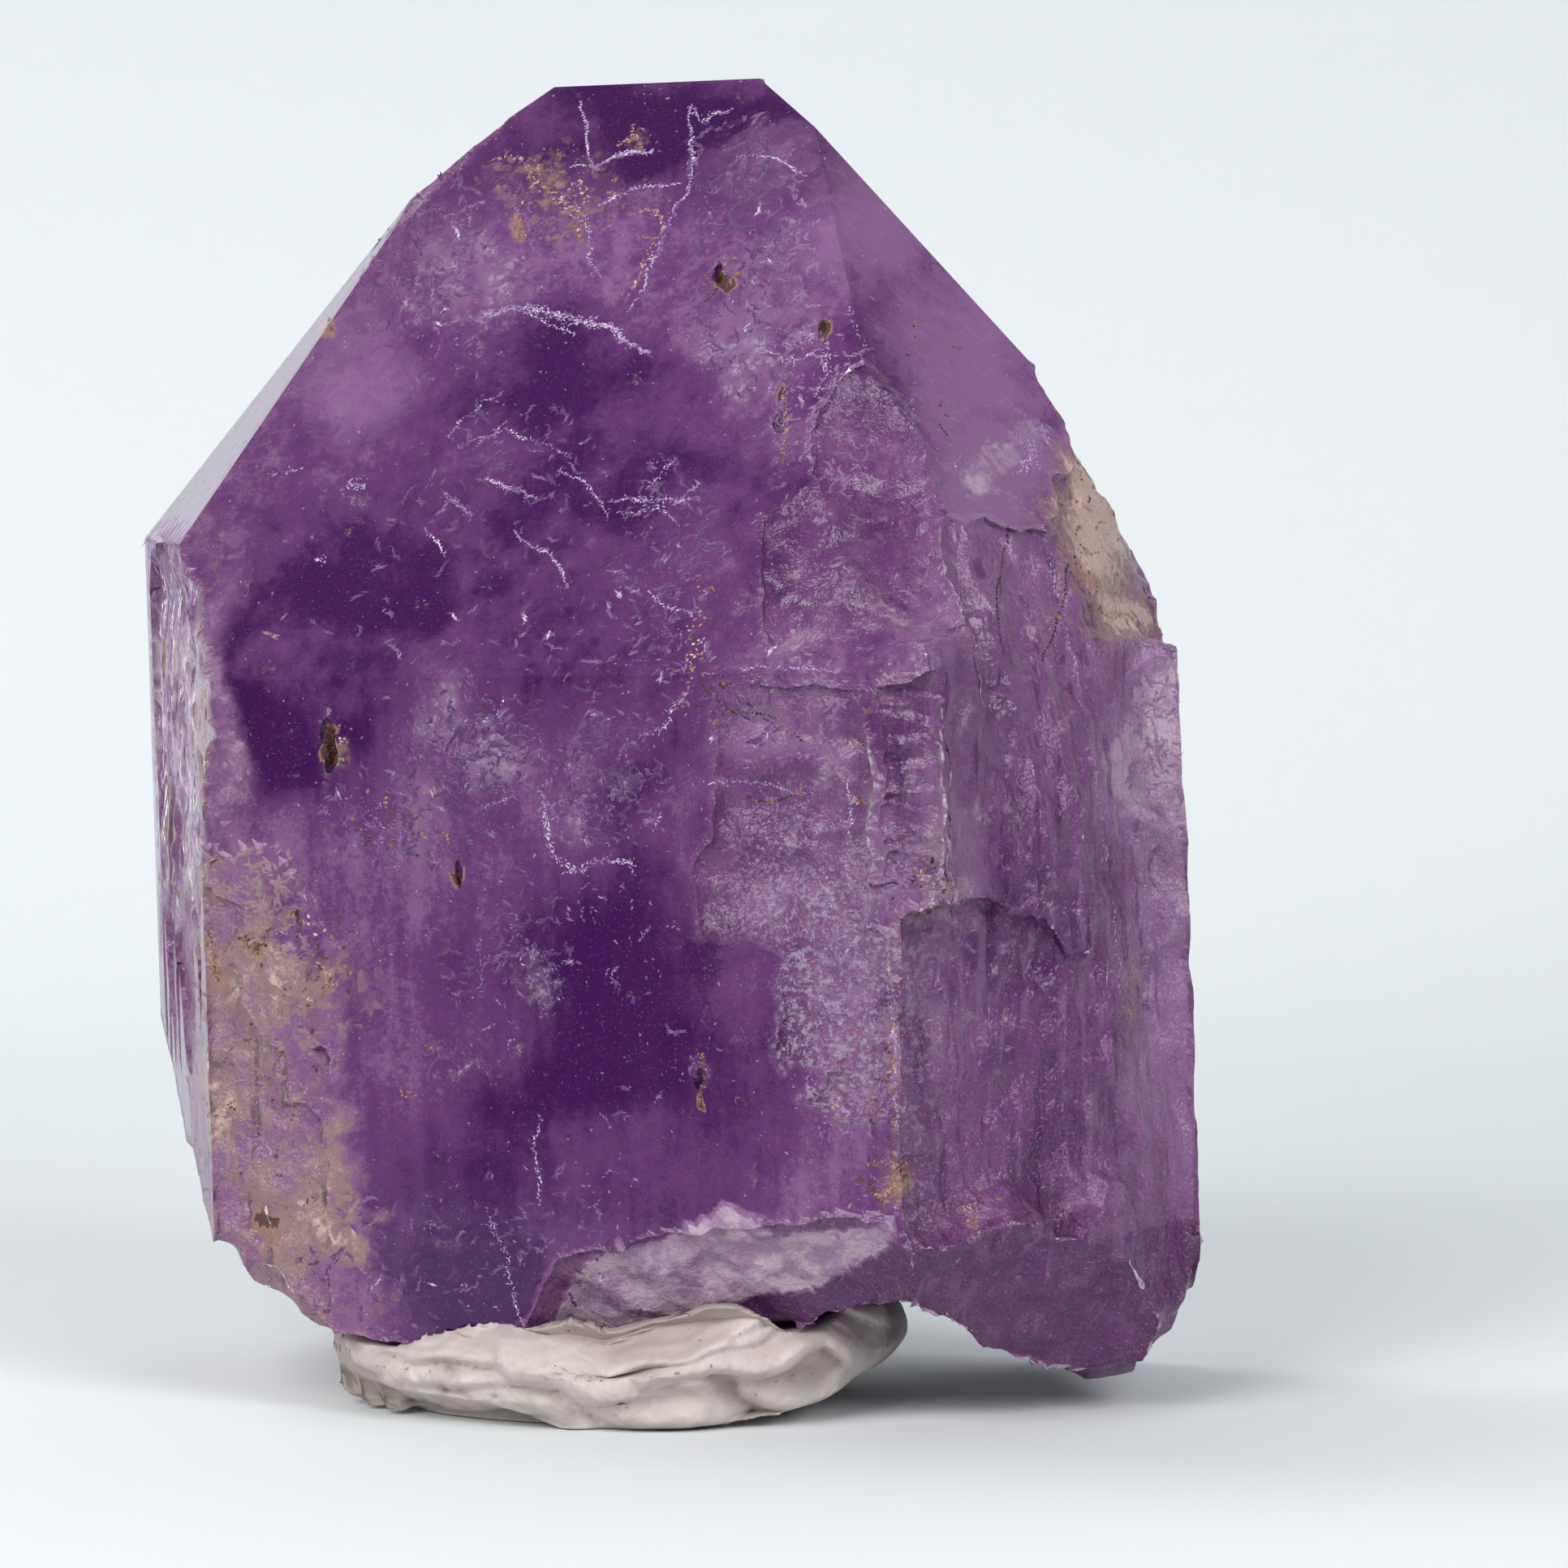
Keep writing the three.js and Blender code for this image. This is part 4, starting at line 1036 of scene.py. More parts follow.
def sliver_tree(name):
    """Geometry nodes that strew thin slivers along lines, flat on the skin of the stone."""
    group = bpy.data.node_groups.new(name, "GeometryNodeTree")
    face = group.interface
    for title, kind in (("Lines", "Geometry"), ("Stone", "Object"), ("Finish", "Material"),
                        ("Length", "Float"), ("Width", "Float"), ("Turn", "Float"),
                        ("Seed", "Int")):
        face.new_socket(title, in_out="INPUT", socket_type="NodeSocket" + kind)
    face.new_socket("Slivers", in_out="OUTPUT", socket_type="NodeSocketGeometry")
    given = group.nodes.new("NodeGroupInput")
    result = group.nodes.new("NodeGroupOutput")

    def step(kind, options=None, **links):
        """A new node with its settings and its inputs, by name or as i and a number."""
        made = group.nodes.new(kind)
        for key, value in (options or {}).items():
            setattr(made, key, value)
        for key, source in links.items():
            socket = made.inputs[int(key[1:]) if key[1:].isdigit() else key]
            if isinstance(source, bpy.types.NodeSocket):
                group.links.new(source, socket)
            else:
                socket.default_value = source
        return made

    def read(title):
        """A value that the drawn lines carry."""
        return step("GeometryNodeInputNamedAttribute", {"data_type": "FLOAT"},
                    Name=title).outputs[0]

    def product(first, second):
        return step("ShaderNodeMath", {"operation": "MULTIPLY"}, i0=first, i1=second).outputs[0]

    def chance(low, high, offset):
        """A random value for each sliver, from a seed of its own."""
        seed = step("ShaderNodeMath", {"operation": "ADD"}, i0=given.outputs["Seed"],
                    i1=offset).outputs[0]
        kind = "FLOAT_VECTOR" if isinstance(low, tuple) else "FLOAT"
        made = step("FunctionNodeRandomValue", {"data_type": kind})
        for socket, value in zip([q for q in made.inputs if q.enabled], (low, high)):
            if isinstance(value, bpy.types.NodeSocket):
                group.links.new(value, socket)
            else:
                socket.default_value = value
        group.links.new(seed, made.inputs["Seed"])
        return next(q for q in made.outputs if q.enabled)

    curve = step("GeometryNodeMeshToCurve", Mesh=given.outputs["Lines"])
    even = step("GeometryNodeResampleCurve", Curve=curve.outputs[0])
    even.mode = "LENGTH"
    even.inputs["Length"].default_value = STEP_ALONG
    spots = step("GeometryNodeCurveToPoints", {"mode": "EVALUATED"}, Curve=even.outputs[0])
    tangent = step("GeometryNodeCaptureAttribute", Geometry=spots.outputs["Points"])
    tangent.capture_items.new("VECTOR", "Along")
    group.links.new(spots.outputs["Tangent"], tangent.inputs[1])
    many = step("GeometryNodeDuplicateElements", {"domain": "POINT"}, Geometry=tangent.outputs[0],
                Amount=product(read("crowd"), STEP_ALONG / MM))
    tighter = product(product(read("breadth"), MM), chance(0.2, 1.0, 1))
    spread = step("ShaderNodeVectorMath", {"operation": "SCALE"},
                  i0=chance((-1.0, -1.0, -1.0), (1.0, 1.0, 1.0), 2), Scale=tighter).outputs[0]
    strewn = step("GeometryNodeSetPosition", Geometry=many.outputs[0], Offset=spread)
    stone_skin = step("GeometryNodeObjectInfo", {"transform_space": "ORIGINAL"},
                      Object=given.outputs["Stone"])
    nearest = step("GeometryNodeProximity", {"target_element": "FACES"},
                   i0=stone_skin.outputs["Geometry"])
    seated = step("GeometryNodeSetPosition", Geometry=strewn.outputs[0],
                  Position=nearest.outputs["Position"])
    skin_normal = step("GeometryNodeSampleNearestSurface", {"data_type": "FLOAT_VECTOR"},
                       Mesh=stone_skin.outputs["Geometry"],
                       Value=step("GeometryNodeInputNormal").outputs[0]).outputs[0]
    upright = step("FunctionNodeAlignRotationToVector", {"axis": "Z"}, Vector=skin_normal)
    along = step("FunctionNodeAlignRotationToVector", {"axis": "X", "pivot_axis": "Z"},
                 Rotation=upright.outputs[0], Vector=tangent.outputs[1])
    most = given.outputs["Turn"]
    twist = step("ShaderNodeCombineXYZ", Z=chance(product(most, -1.0), most, 3)).outputs[0]
    twist = step("FunctionNodeEulerToRotation", Euler=twist).outputs[0]
    turned = step("FunctionNodeRotateRotation", {"rotation_space": "LOCAL"},
                  Rotation=along.outputs[0], i1=twist)
    shape = step("GeometryNodeMeshUVSphere", Segments=4, Rings=2, Radius=1.0)
    long = product(given.outputs["Length"], chance(0.25, 1.0, 4))
    wide = product(given.outputs["Width"], chance(0.4, 1.0, 5))
    size = step("ShaderNodeCombineXYZ", X=long, Y=wide, Z=SLIVER_HALF_THICKNESS * MM).outputs[0]
    slivers = step("GeometryNodeInstanceOnPoints", Points=seated.outputs[0],
                   Instance=shape.outputs[0], Rotation=turned.outputs[0], Scale=size)
    lit = step("GeometryNodeStoreNamedAttribute", {"data_type": "FLOAT", "domain": "INSTANCE"},
               Geometry=slivers.outputs[0], Name="glow",
               Value=product(read("bright"), chance(0.3, 1.0, 6)))
    real = step("GeometryNodeRealizeInstances", Geometry=lit.outputs[0])
    finished = step("GeometryNodeSetMaterial", Geometry=real.outputs[0],
                    Material=given.outputs["Finish"])
    group.links.new(finished.outputs[0], result.inputs[0])
    return group


def made_by_nodes(name, source, group, **inputs):
    """The mesh that a geometry node group makes of a source mesh, as a new object."""
    holder = add_object(name + "_source", source)
    modifier = holder.modifiers.new("nodes", "NODES")
    modifier.node_group = group
    sockets = {item.name: item.identifier for item in group.interface.items_tree}
    for title, value in inputs.items():
        modifier[sockets[title]] = value
    depsgraph = bpy.context.evaluated_depsgraph_get()
    mesh = bpy.data.meshes.new_from_object(holder.evaluated_get(depsgraph), depsgraph=depsgraph)
    holder.modifiers.clear()
    bpy.data.objects.remove(holder)
    for layer in ("breadth", "crowd", "bright", "Along"):
        if layer in mesh.attributes:
            mesh.attributes.remove(mesh.attributes[layer])
    return add_object(name, mesh)


FEATHER_DIM = (0.24, 0.12, 0.33, 1)
FEATHER_SOFT = (0.56, 0.44, 0.64, 1)
FEATHER_BRIGHT = (0.88, 0.83, 0.92, 1)
feather_white, tree, shader = new_material("healed_crack")
spot = spots_in_mm(tree)
glow = maths(tree, "POWER", painted(tree, "glow"), 1.6)
patches = ramp(tree, grain_noise(tree, spot, 0.5, 3), 0.35, 0.6, 0.25, 1.1)
glow = maths(tree, "MULTIPLY", glow, patches)
pale = mixed(tree, ramp(tree, glow, 0.0, 0.45), FEATHER_DIM, FEATHER_SOFT)
pale = mixed(tree, ramp(tree, glow, 0.45, 0.9), pale, FEATHER_BRIGHT)
tree.links.new(pale, shader.inputs["Base Color"])


def roughened(tree, shader, spot, waves, smoothest, roughest):
    """An uneven gloss on a shader."""
    gloss = ramp(tree, grain_noise(tree, spot, waves, 2), 0.3, 0.7, smoothest, roughest)
    tree.links.new(gloss, shader.inputs["Roughness"])


roughened(tree, shader, spot, 3, 0.35, 0.6)


def flecks(clouds, seed, longest, broadest):
    """Short threads and small tufts, strewn in clouds that thin out from their middles."""
    draw = random.Random(seed)
    made = []
    for (x, z), (half_x, half_z), count in clouds:
        for _ in range(count):
            turn = draw.uniform(0, 2 * math.pi)
            out = draw.random() ** 0.6
            start = (x + half_x * out * math.cos(turn), z + half_z * out * math.sin(turn))
            heading = draw.uniform(0, 2 * math.pi)
            reach = longest * draw.random() ** 2 + 0.08
            line = [start]
            for _ in range(2):
                heading += draw.gauss(0, 0.5)
                line.append((line[-1][0] + reach / 2 * math.cos(heading),
                             line[-1][1] + reach / 2 * math.sin(heading)))
            made.append((line, broadest * draw.random() ** 2 + 0.02, draw.uniform(8, 22),
                         0.9 * draw.random() ** 1.5))
    return made


feather_nodes = sliver_tree("feather_slivers")
feather_lines = FEATHERS + barbs(FEATHERS, 4, 0.7, 0.7) + flecks(FEATHER_CLOUDS, 11, 1.0, 0.2)
feathers = made_by_nodes("healed_cracks", line_mesh("feather_lines", feather_lines), feather_nodes,
                         Stone=crystal, Finish=feather_white, Length=0.20 * MM, Width=0.045 * MM,
                         Turn=1.2, Seed=3)
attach(feathers, "root")

# Veils: pale clouds of short chips, where many small cracks healed side by side.
# Each chip is a flat film of fluid in the quartz, broader than a feather's thread, that catches the
# light. They grew in with the stone too, and are set into its skin in the same way.
VEIL_DARK = (0.075, 0.016, 0.110, 1)
VEIL_VIOLET = (0.155, 0.066, 0.195, 1)
VEIL_BRIGHT = (0.62, 0.52, 0.68, 1)
VEIL_ON_RIGHT = (0.27, 0.155, 0.30, 1)
VEIL_ON_CORNER = (0.30, 0.20, 0.19, 1)
RIGHT_SIDE = 7  # x in mm, from where the chips are fewer
# Each cloud: (x, z), (half width, half height) in mm, chips.
VEIL_CLOUDS = [((-15.5, 74.5), (4.8, 5.9), 260), ((6.4, 72.8), (4.2, 8.4), 420),
               ((10.5, 62.9), (3.6, 6.2), 260), ((4.8, 79.7), (3.2, 3.2), 110),
               ((-10.8, 42.2), (4.1, 3.5), 260), ((-2.1, 40.9), (3.5, 4.5), 240),
               ((0.8, 54.9), (3.1, 6.1), 220), ((8.0, 46.1), (5.5, 3.0), 240),
               ((-8.6, 58.8), (6.7, 5.2), 150), ((-15.5, 38.1), (5.6, 3.1), 190),
               ((-9.3, 30.6), (4.6, 4.6), 150), ((-24.4, 31.7), (3.6, 5.1), 220),
               ((-26.6, 20.2), (4.1, 8.2), 300), ((12.9, 27.7), (2.6, 8.9), 300),
               ((0.4, 24.5), (4.0, 6.0), 20), ((-7.8, 11.3), (5.1, 5.1), 110),
               ((19.1, 54.9), (4.1, 8.1), 60), ((31.2, 44.8), (2.3, 6.2), 220),
               ((21.6, 26.2), (5.0, 12.6), 80), ((-16.6, 50.7), (9.2, 6.1), 50),
               ((-5.2, 46.9), (10.1, 5.0), 150), ((-17.7, 9.8), (7.6, 4.6), 110)]
veil, tree, shader = new_material("veil")
spot = spots_in_mm(tree)
patches = ramp(tree, grain_noise(tree, spot, 0.35, 3), 0.35, 0.65, 0.3, 1.4)
glow = maths(tree, "MULTIPLY", painted(tree, "glow"), patches)
pale = mixed(tree, ramp(tree, glow, 0.05, 0.35), VEIL_DARK, VEIL_VIOLET)
pale = mixed(tree, ramp(tree, glow, 0.45, 0.9), pale, VEIL_BRIGHT)
from_left = add_node(tree, "ShaderNodeSeparateXYZ", spot).outputs[0]
pale = mixed(tree, ramp(tree, from_left, RIGHT_SIDE, RIGHT_SIDE + 3, 0, 0.7), pale, VEIL_ON_RIGHT)
corner = ramp(tree, swayed(tree, from_left, (grain_noise(tree, spot, 0.3, 2), 8)), -21, -24)
pale = mixed(tree, maths(tree, "MULTIPLY", corner, 0.75), pale, VEIL_ON_CORNER)
tree.links.new(pale, shader.inputs["Base Color"])
roughened(tree, shader, spot, 3, 0.35, 0.6)
thin_clouds = [(middle, half, count // (2 if middle[0] < RIGHT_SIDE else 3))
               for middle, half, count in VEIL_CLOUDS]
veil_lines = line_mesh("veil_lines", flecks(thin_clouds, 21, 1.0, 0.3))
veils = made_by_nodes("veil_chips", veil_lines, feather_nodes, Stone=crystal, Finish=veil,
                      Length=0.42 * MM, Width=0.11 * MM, Turn=0.9, Seed=14)
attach(veils, "root")

# Shreds on the left wall, where the quartz is nearly colourless and splits into upright flakes.
# Each is a splinter of the wall itself, that still holds to it. They are laid along upright lines
# with (y, z) points in mm, seen from the left, each with its half breadth, crowding and brightness.
WALL_SHREDS = [([(y, 56), (y + 0.3, 46), (y - 0.2, 36), (y + 0.1, 27)], 0.6, 14, bright)
               for y, bright in ((-3.4, 1.3), (-1.6, 0.7), (0.4, 1.5), (2.6, 0.8), (4.6, 1.3),
                                 (6.9, 0.7), (9.0, 1.4), (11.2, 0.9), (13.1, 1.4), (15.0, 0.8))]
shreds = made_by_nodes("wall_shreds", line_mesh("shred_lines", WALL_SHREDS, on_left), feather_nodes,
                       Stone=crystal, Finish=feather_white, Length=1.0 * MM, Width=0.10 * MM,
                       Turn=0.12, Seed=8)
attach(shreds, "root")

# Iron oxide, as orange and beige flakes and dark brown slits in the cracks of the stone.
# Water with iron in it left it there as thin films and crusts. The flakes lie in the stone's skin.
IRON_DARK = (0.035, 0.012, 0.010, 1)
IRON_BROWN = (0.17, 0.07, 0.04, 1)
IRON_TAN = (0.34, 0.18, 0.12, 1)
IRON_BEIGE = (0.60, 0.44, 0.42, 1)
IRON_ORANGE = (0.50, 0.23, 0.09, 1)
IRON_SPARSER = 0.3  # of the flakes per mm that the lines give
# Each line through (x, z) points in mm, its half breadth, its flakes per mm and how pale it is.
IRON_LINES = [([(26.2, 53.9), (25.7, 51.3), (24.4, 48.1)], 0.03, 90, 0.02),
              ([(22.4, 56.2), (21.6, 52.0), (21.9, 48.6)], 0.02, 70, 0.04),
              ([(3.2, 46.9), (4.6, 45.4), (7.4, 44.8), (9.3, 43.6)], 0.03, 80, 0.04),
              ([(9.4, 40.4), (7.6, 39.6), (6.2, 39.9)], 0.03, 80, 0.04),
              ([(-11.1, 80.0), (-9.6, 80.3), (-8.0, 79.8), (-6.2, 79.0)], 0.35, 40, 0.7),
              ([(-8.6, 79.6), (-7.0, 77.8), (-5.4, 76.0), (-4.9, 74.6)], 0.5, 60, 0.85),
              ([(-6.2, 77.4), (-5.2, 78.4), (-4.6, 76.8)], 0.5, 60, 0.9),
              ([(-2.6, 80.9), (-1.7, 81.6), (-1.0, 80.9)], 0.28, 80, 0.75),
              ([(-1.8, 81.4), (-1.6, 82.3)], 0.10, 60, 0.7),
              ([(-1.7, 76.4), (-0.4, 76.6), (0.4, 75.9), (0.0, 74.9), (-1.2, 74.8)], 0.14, 60,
               0.75),
              ([(-0.2, 74.6), (-0.9, 72.6), (-1.6, 71.0)], 0.26, 40, 0.7),
              ([(-9.3, 76.4), (-9.0, 74.9)], 0.22, 80, 0.5),
              ([(3.3, 70.7), (4.6, 71.9), (5.6, 72.8)], 0.20, 90, 0.12),
              ([(3.0, 71.4), (4.4, 72.6), (5.2, 73.4)], 0.4, 50, 0.5),
              ([(10.8, 69.1), (10.9, 67.8)], 0.12, 90, 0.12),
              ([(8.3, 65.9), (8.4, 63.5), (8.1, 62.9)], 0.07, 40, 0.15),
              ([(8.4, 63.4), (8.2, 60.6)], 0.22, 60, 0.6),
              ([(-20.3, 44.2), (-20.5, 41.0)], 0.22, 110, 0.12),
              ([(-19.8, 43.8), (-19.6, 41.6)], 0.5, 40, 0.8),
              ([(-10.7, 45.4), (-10.5, 44.9)], 0.2, 60, 0.3),
              ([(-15.6, 38.0), (-15.1, 37.3)], 0.2, 60, 0.35),
              ([(-12.2, 35.0), (-11.9, 34.5)], 0.16, 80, 0.1),
              ([(2.9, 53.5), (3.1, 51.8), (2.4, 50.2), (2.6, 48.2), (2.2, 45.6)], 0.45, 34, 0.85),
              ([(12.0, 43.6), (12.9, 43.3)], 0.20, 80, 0.8),
              ([(12.2, 40.1), (13.1, 39.8)], 0.25, 80, 0.85),
              ([(-21.7, 69.6), (-21.2, 68.8)], 0.35, 60, 0.45),
              ([(-14.2, 23.9), (-13.8, 23.5)], 0.16, 70, 0.5),
              ([(-15.7, 21.1), (-15.1, 20.6)], 0.3, 60, 0.55),
              ([(3.2, 24.0), (3.3, 22.0), (3.0, 21.0)], 0.2, 60, 0.5),
              ([(14.7, 31.0), (14.9, 26), (15.0, 20.5), (15.1, 15.5)], 0.22, 40, 0.65),
              ([(13.4, 17.4), (14.8, 17.6), (15.4, 16.4), (14.6, 15.4), (13.6, 16.0)], 0.5, 80,
               0.6),
              ([(13.0, 16.6), (14.2, 15.2)], 0.3, 70, 0.3),
              ([(11.3, 21.8), (11.7, 20.2)], 0.4, 60, 0.9),
              ([(16.2, 36.0), (17.4, 34.6), (16.6, 33.2), (14.8, 32.4)], 0.6, 50, 0.95),
              ([(27.6, 51.4), (28.6, 50.6), (29.8, 50.7), (31.0, 50.0)], 0.28, 80, 0.75),
              ([(28.2, 51.4), (28.5, 50.8)], 0.12, 50, 0.2),
              ([(26.6, 58.6), (26.9, 56.0), (27.2, 53.0)], 0.3, 40, 0.65),
              ([(-24.8, 12.8), (-24.0, 12.2)], 0.5, 70, 0.3),
              ([(-26.2, 30.4), (-24.6, 29.9)], 0.3, 60, 0.2),
              ([(-28.2, 30.6), (-27.8, 27.6)], 0.4, 50, 0.4),
              ([(-21.4, 29.4), (-20.6, 28.0), (-20.9, 26.8)], 0.4, 50, 0.75),
              ([(-22.2, 31.6), (-20.6, 31.0)], 0.5, 40, 0.9),
              ([(18.8, 15.0), (19.8, 14.0), (20.6, 12.6)], 0.4, 44, 0.85),
              ([(30.0, 30.0), (30.2, 24.6)], 0.6, 30, 0.55),
              ([(-28.4, 42.0), (-28.2, 36.8)], 0.12, 30, 0.3)]
# Swarms of single flakes: (x, z), (half width, half height) in mm, flakes.
IRON_CLOUDS = [((-6.4, 77.4), (3.8, 3.6), 60), ((28.4, 57), (2.6, 6), 40),
               ((-24, 22), (3.6, 10), 50), ((3, 48), (2.4, 5), 20), ((14.6, 20), (1.6, 8), 36),
               ((-15.5, 38), (4, 3), 16), ((-20, 29), (2.4, 3), 20),
               ((16.5, 34.5), (1.6, 2.6), 20), ((20, 13), (3, 2.6), 16), ((17, 67), (3.4, 5), 14)]
iron_finish, tree, shader = new_material("iron_oxide")
spot = spots_in_mm(tree)
glow = painted(tree, "glow")
rust_colour = mixed(tree, ramp(tree, glow, 0.05, 0.3), IRON_DARK, IRON_BROWN)
rust_colour = mixed(tree, ramp(tree, glow, 0.25, 0.5), rust_colour, IRON_TAN)
rust_colour = mixed(tree, ramp(tree, glow, 0.45, 0.85), rust_colour, IRON_BEIGE)
patches = ramp(tree, grain_noise(tree, spot, 1.1, 3), 0.54, 0.64, 0, 0.5)
rust_colour = mixed(tree, patches, rust_colour, IRON_ORANGE)
tree.links.new(rust_colour, shader.inputs["Base Color"])
roughened(tree, shader, spot, 3, 0.45, 0.7)
iron_lines = [(line, breadth, IRON_SPARSER * crowd, bright)
              for line, breadth, crowd, bright in IRON_LINES] + flecks(IRON_CLOUDS, 5, 0.7, 0.25)
iron = made_by_nodes("iron_flakes", line_mesh("iron_lines", iron_lines), feather_nodes,
                     Stone=crystal, Finish=iron_finish, Length=0.20 * MM, Width=0.11 * MM,
                     Turn=3.1, Seed=8)
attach(iron, "root")

# The mounting putty, a soft grey pad folded over on itself and pressed under the broken base.
# It is a kneaded modelling compound: matt, smeared by fingers, with creases, folds and a few pits.
# It keeps its shape by itself, and the stone's weight pressed it out at the sides.
PUTTY_VOXEL = 0.25 * MM
PUTTY_SMOOTHING_ROUNDS = 12
PUTTY_DEPTH = 1.6  # mm that the hollows between the folds are pressed in
FOLD_LIFT = 1.45
FLAT_UNDER = 0.2  # mm over the table, where the pad stays flat
EDGE_FADE = 0.8  # mm over the table, up to where the folds reach their full depth
LUMP_SIDES = (-17.2, -11.4)  # x in mm of the crumbly lump at the left end
LUMP_LEVELS = (0.7, 3.4)  # z in mm
CLAY_SHADE = (0.465, 0.41, 0.385, 1)
CLAY_LIGHT = (0.605, 0.545, 0.52, 1)
# The next colour is painted shade, which darkens the creases, the pits and the hollows between the
# folds.
CLAY_HOLLOW_SHADE = (0.27, 0.225, 0.205, 1)
CLAY_SPECK = (0.13, 0.10, 0.09, 1)
CLAY_RELIEF_STRENGTH = 0.3
CLAY_RELIEF_DEPTH = 0.2 * MM
# Its folds: (x, z) points in mm, half breadth, height, and how far the fold runs out above.
PUTTY_FOLDS = [([(-21.5, 6.2), (-18.5, 5.0), (-15.4, 4.7), (-12.4, 4.9), (-8.3, 4.6),
                 (-4.6, 4.7)], 0.8, 1.35, 2.0),
               ([(-18.9, 3.7), (-15.4, 3.1), (-12.4, 2.9), (-9.9, 3.1), (-7.3, 3.7)],
                0.6, 0.85, 1.2),
               ([(-8.6, 4.4), (-5.3, 3.4), (-3.2, 2.0), (-0.7, 0.7), (2.6, -0.2)], 1.3, 1.75, 2.6),
               ([(-12.6, 1.2), (-9.3, 1.7), (-6.3, 1.2), (-3.2, 0.2)], 0.8, 0.7, 1.4),
               ([(-16.6, 3.0), (-14.4, 2.0), (-12.2, 1.5)], 0.9, 0.8, 0.8),
               ([(-2.6, 5.2), (-0.2, 5.6), (2.4, 5.5), (4.9, 6.4), (6.9, 7.5), (9.6, 8.2)],
                0.75, 1.5, 0.8),
               ([(-0.6, 3.4), (2.4, 4.4), (4.4, 4.6), (6.4, 4.1), (8.2, 4.5), (9.5, 5.5),
                 (10.8, 5.7), (12.3, 4.6), (14.2, 2.4)], 0.85, 1.3, 1.6),
               ([(4.6, 6.0), (6.9, 6.4), (8.7, 7.1), (10.5, 7.1), (12.5, 5.9), (14.4, 3.4)],
                0.6, 1.1, 1.0),
               ([(9.6, 8.2), (12.0, 8.1), (14.3, 6.9), (15.6, 5.1), (15.1, 2.8)], 0.8, 1.4, 0.9),
               ([(13.0, 8.4), (15.3, 7.4), (16.4, 5.4)], 0.6, 1.1, 0.8),
               ([(2.4, 3.2), (3.6, 1.6), (3.2, 0.2)], 1.0, 0.9, 1.0),
               ([(6.2, 2.6), (8.0, 1.5), (10.5, 1.2), (13.2, 2.2)], 0.9, 0.8, 1.3)]
# Small pits: (x, z) and radius in mm.
PUTTY_PITS = [((6.3, 0.8), 0.45), ((-12.7, 3.5), 0.5), ((5.2, 6.0), 0.4), ((-9.8, 2.0), 0.4),
              ((8.7, 3.1), 0.3), ((2.7, 0.4), 0.25), ((0.6, 5.0), 0.2), ((7.6, 2.6), 0.15),
              ((7.9, 3.6), 0.15), ((-2.0, 2.6), 0.15)]
putty_copy = merged_copy(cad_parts["mounting_putty"])
putty_draft = bpy.data.meshes.new("putty_draft")
putty_copy.to_mesh(putty_draft)
putty_holder = add_object("putty_draft", putty_draft)
remesh = putty_holder.modifiers.new("even", "REMESH")
remesh.mode = "VOXEL"
remesh.voxel_size = PUTTY_VOXEL
depsgraph = bpy.context.evaluated_depsgraph_get()
putty_mesh = bpy.data.meshes.new_from_object(putty_holder.evaluated_get(depsgraph),
                                             depsgraph=depsgraph)
bpy.data.objects.remove(putty_holder)
putty_mesh.name = "mounting_putty"
even = bmesh.new()
even.from_mesh(putty_mesh)
bmesh.ops.triangulate(even, faces=even.faces)
even.to_mesh(putty_mesh)
even.free()
putty_points = np.array([v.co for v in putty_mesh.vertices]) / MM
putty_triangles = np.array([list(f.vertices) for f in putty_mesh.polygons])
all_free = np.ones(len(putty_points))
putty_points = relaxed(putty_points, putty_triangles, all_free, PUTTY_SMOOTHING_ROUNDS)
putty_normals = point_normals(putty_points, putty_triangles)
putty_middle = (putty_points.min(axis=0) + putty_points.max(axis=0)) / 2


def fold_height(x, z):
    """The height in mm of the folded layers at a place seen from the front.

    Each is steep below and runs out softly above."""
    best = 0.0
    for line, half, height, reach in PUTTY_FOLDS:
        nearest, above = 99.0, True
        for (x0, z0), (x1, z1) in zip(line, line[1:]):
            dx, dz = x1 - x0, z1 - z0
            t = min(1, max(0, ((x - x0) * dx + (z - z0) * dz) / (dx * dx + dz * dz)))
            gap = math.hypot(x - x0 - dx * t, z - z0 - dz * t)
            if gap < nearest:
                nearest, above = gap, dx * (z - z0) > dz * (x - x0)
        if above and nearest < reach * 1.6:
            fall = nearest / (reach * 1.6)
            ripple = 0.09 * math.sin(15 * nearest) * (1 - fall)
            best = max(best, height * (1 - fall * fall * (3 - 2 * fall)) + ripple)
        elif nearest < half:
            best = max(best, height * math.sqrt(1 - (nearest / half) ** 2))
    return best
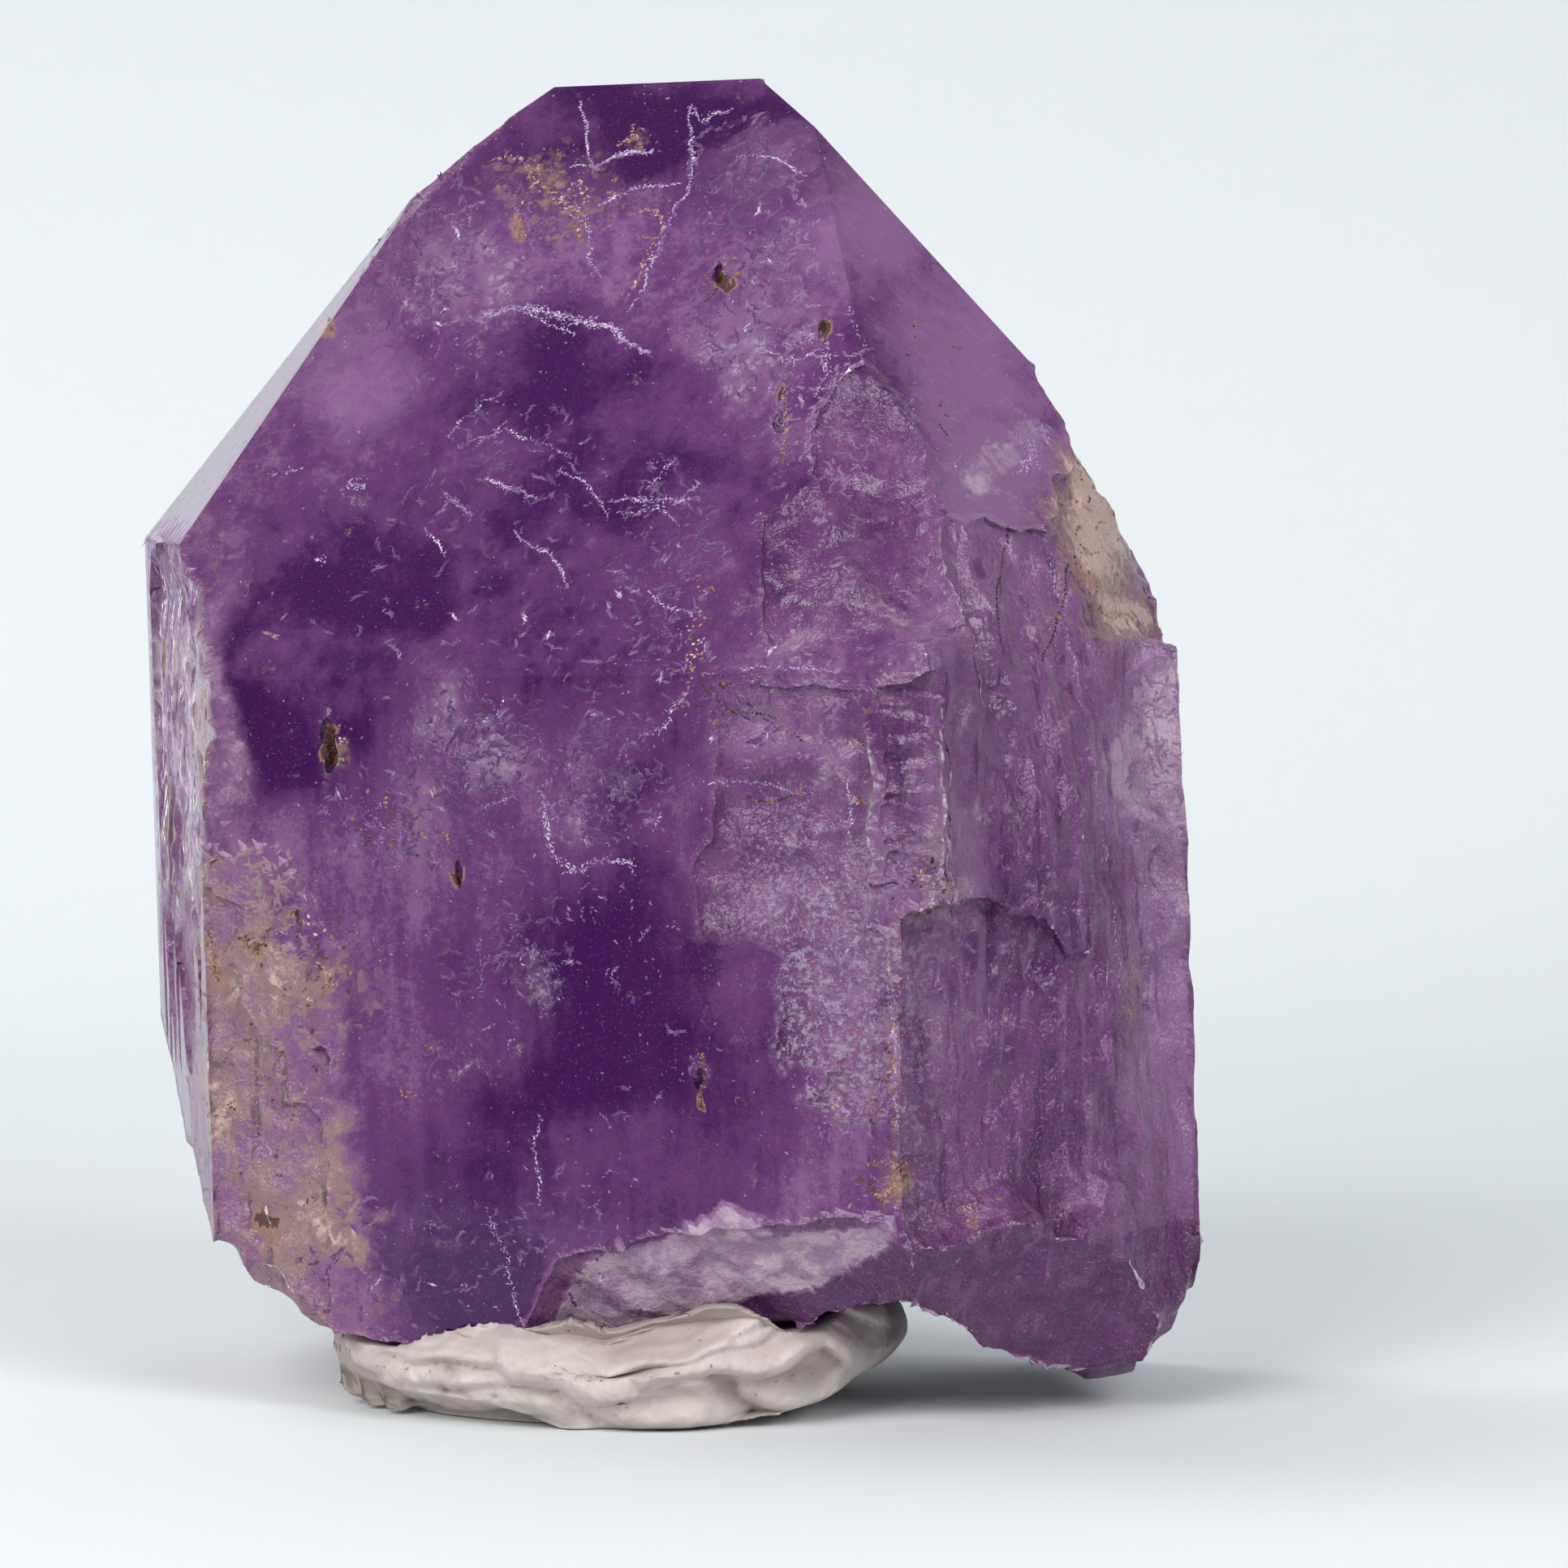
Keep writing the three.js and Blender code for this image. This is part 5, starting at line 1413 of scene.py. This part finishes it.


# Besides the dents, low keeps how deep each point lies in the hollows, from 0 to 1, to paint shade
# into them.
dent = np.zeros(len(putty_points))
low = np.zeros(len(putty_points))
for i, place in enumerate(putty_points):
    if place[2] < FLAT_UNDER:
        continue
    to_front = min(1.0, max(0.0, 0.15 - 1.5 * putty_normals[i][1]))
    to_back = min(1.0, max(0.0, 0.15 + 1.5 * putty_normals[i][1]))
    slow = Vector(place) * 0.3
    sway = Vector((noise.noise(slow), noise.noise(slow + Vector((7, 3, 1))))) * 0.6
    across = place[0] if to_front > to_back else -place[0] - 4
    rise = fold_height(across + sway.x, place[2] + sway.y)
    depth = PUTTY_DEPTH - FOLD_LIFT * rise + 0.15 * noise.fractal(Vector(place) * 0.5, 0.8, 2.0, 3)
    in_lump = LUMP_SIDES[0] < across < LUMP_SIDES[1]
    if in_lump and LUMP_LEVELS[0] < place[2] < LUMP_LEVELS[1]:
        lump = noise.voronoi(Vector(place) * 0.9)[0][0]
        depth += 0.9 * lump * lump - 0.25 + 0.12 * noise.noise(Vector(place) * 3)
    for (x, z), radius in PUTTY_PITS:
        gap = math.hypot(across - x, place[2] - z)
        if gap < 2 * radius:
            depth += 1.6 * radius * math.exp(-2.5 * (gap / radius) ** 2)
    low[i] = depth / PUTTY_DEPTH
    dent[i] = depth * min(1.0, place[2] / EDGE_FADE) * (to_front - to_back)
putty_points[:, 1] += dent
# The front's upper rim sinks a little at its middle, where the scar shows over it.
sinking = np.clip((putty_points[:, 2] - 3.6) / 1.6, 0, 1)
sinking *= np.clip(1 - np.abs(putty_points[:, 0] + 3) / 6.5, 0, 1)
putty_points[:, 2] -= 1.6 * sinking * (putty_points[:, 1] < putty_middle[1])
putty_points = relaxed(putty_points, putty_triangles, all_free, 1)
putty_points[:, 2] = np.maximum(putty_points[:, 2], 0)
putty_mesh.vertices.foreach_set("co", (putty_points * MM).astype(np.float32).ravel())
putty_mesh.shade_smooth()
# Painted shade: points that lie deeper in the hollows get a darker colour.
hollow_shade_layer = putty_mesh.attributes.new("low", "FLOAT", "POINT")
hollow_shade_layer.data.foreach_set("value", np.clip(low, 0, 1).astype(np.float32))
putty_mesh.update()
putty = add_object("mounting_putty_pad", putty_mesh)
putty_material, tree, shader = new_material("putty")
spot = spots_in_mm(tree)
kneaded = grain_noise(tree, spot, 0.25, 5, 0.6, 1.2)
speckled = grain_noise(tree, spot, 3.0, 4, 0.7)
colour = mixed(tree, ramp(tree, kneaded, 0.3, 0.7), CLAY_SHADE, CLAY_LIGHT)
# Painted shade in the creases, pits and hollows, darker the deeper they lie.
hollow_shade = swayed(tree, painted(tree, "low"), (kneaded, 0.5))
colour = mixed(tree, ramp(tree, hollow_shade, 0.45, 1.0, 0, 0.6), colour, CLAY_HOLLOW_SHADE)
colour = mixed(tree, ramp(tree, speckled, 0.66, 0.74, 0, 0.8), colour, CLAY_SPECK)
tree.links.new(colour, shader.inputs["Base Color"])
tree.links.new(ramp(tree, speckled, 0.3, 0.7, 0.5, 0.68), shader.inputs["Roughness"])
bump = add_node(tree, "ShaderNodeBump")
bump.inputs["Strength"].default_value = CLAY_RELIEF_STRENGTH
bump.inputs["Distance"].default_value = CLAY_RELIEF_DEPTH
tree.links.new(speckled, bump.inputs["Height"])
tree.links.new(bump.outputs[0], shader.inputs["Normal"])
putty_mesh.materials.clear()
putty_mesh.materials.append(putty_material)
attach(putty, "root")
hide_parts("mounting_putty")
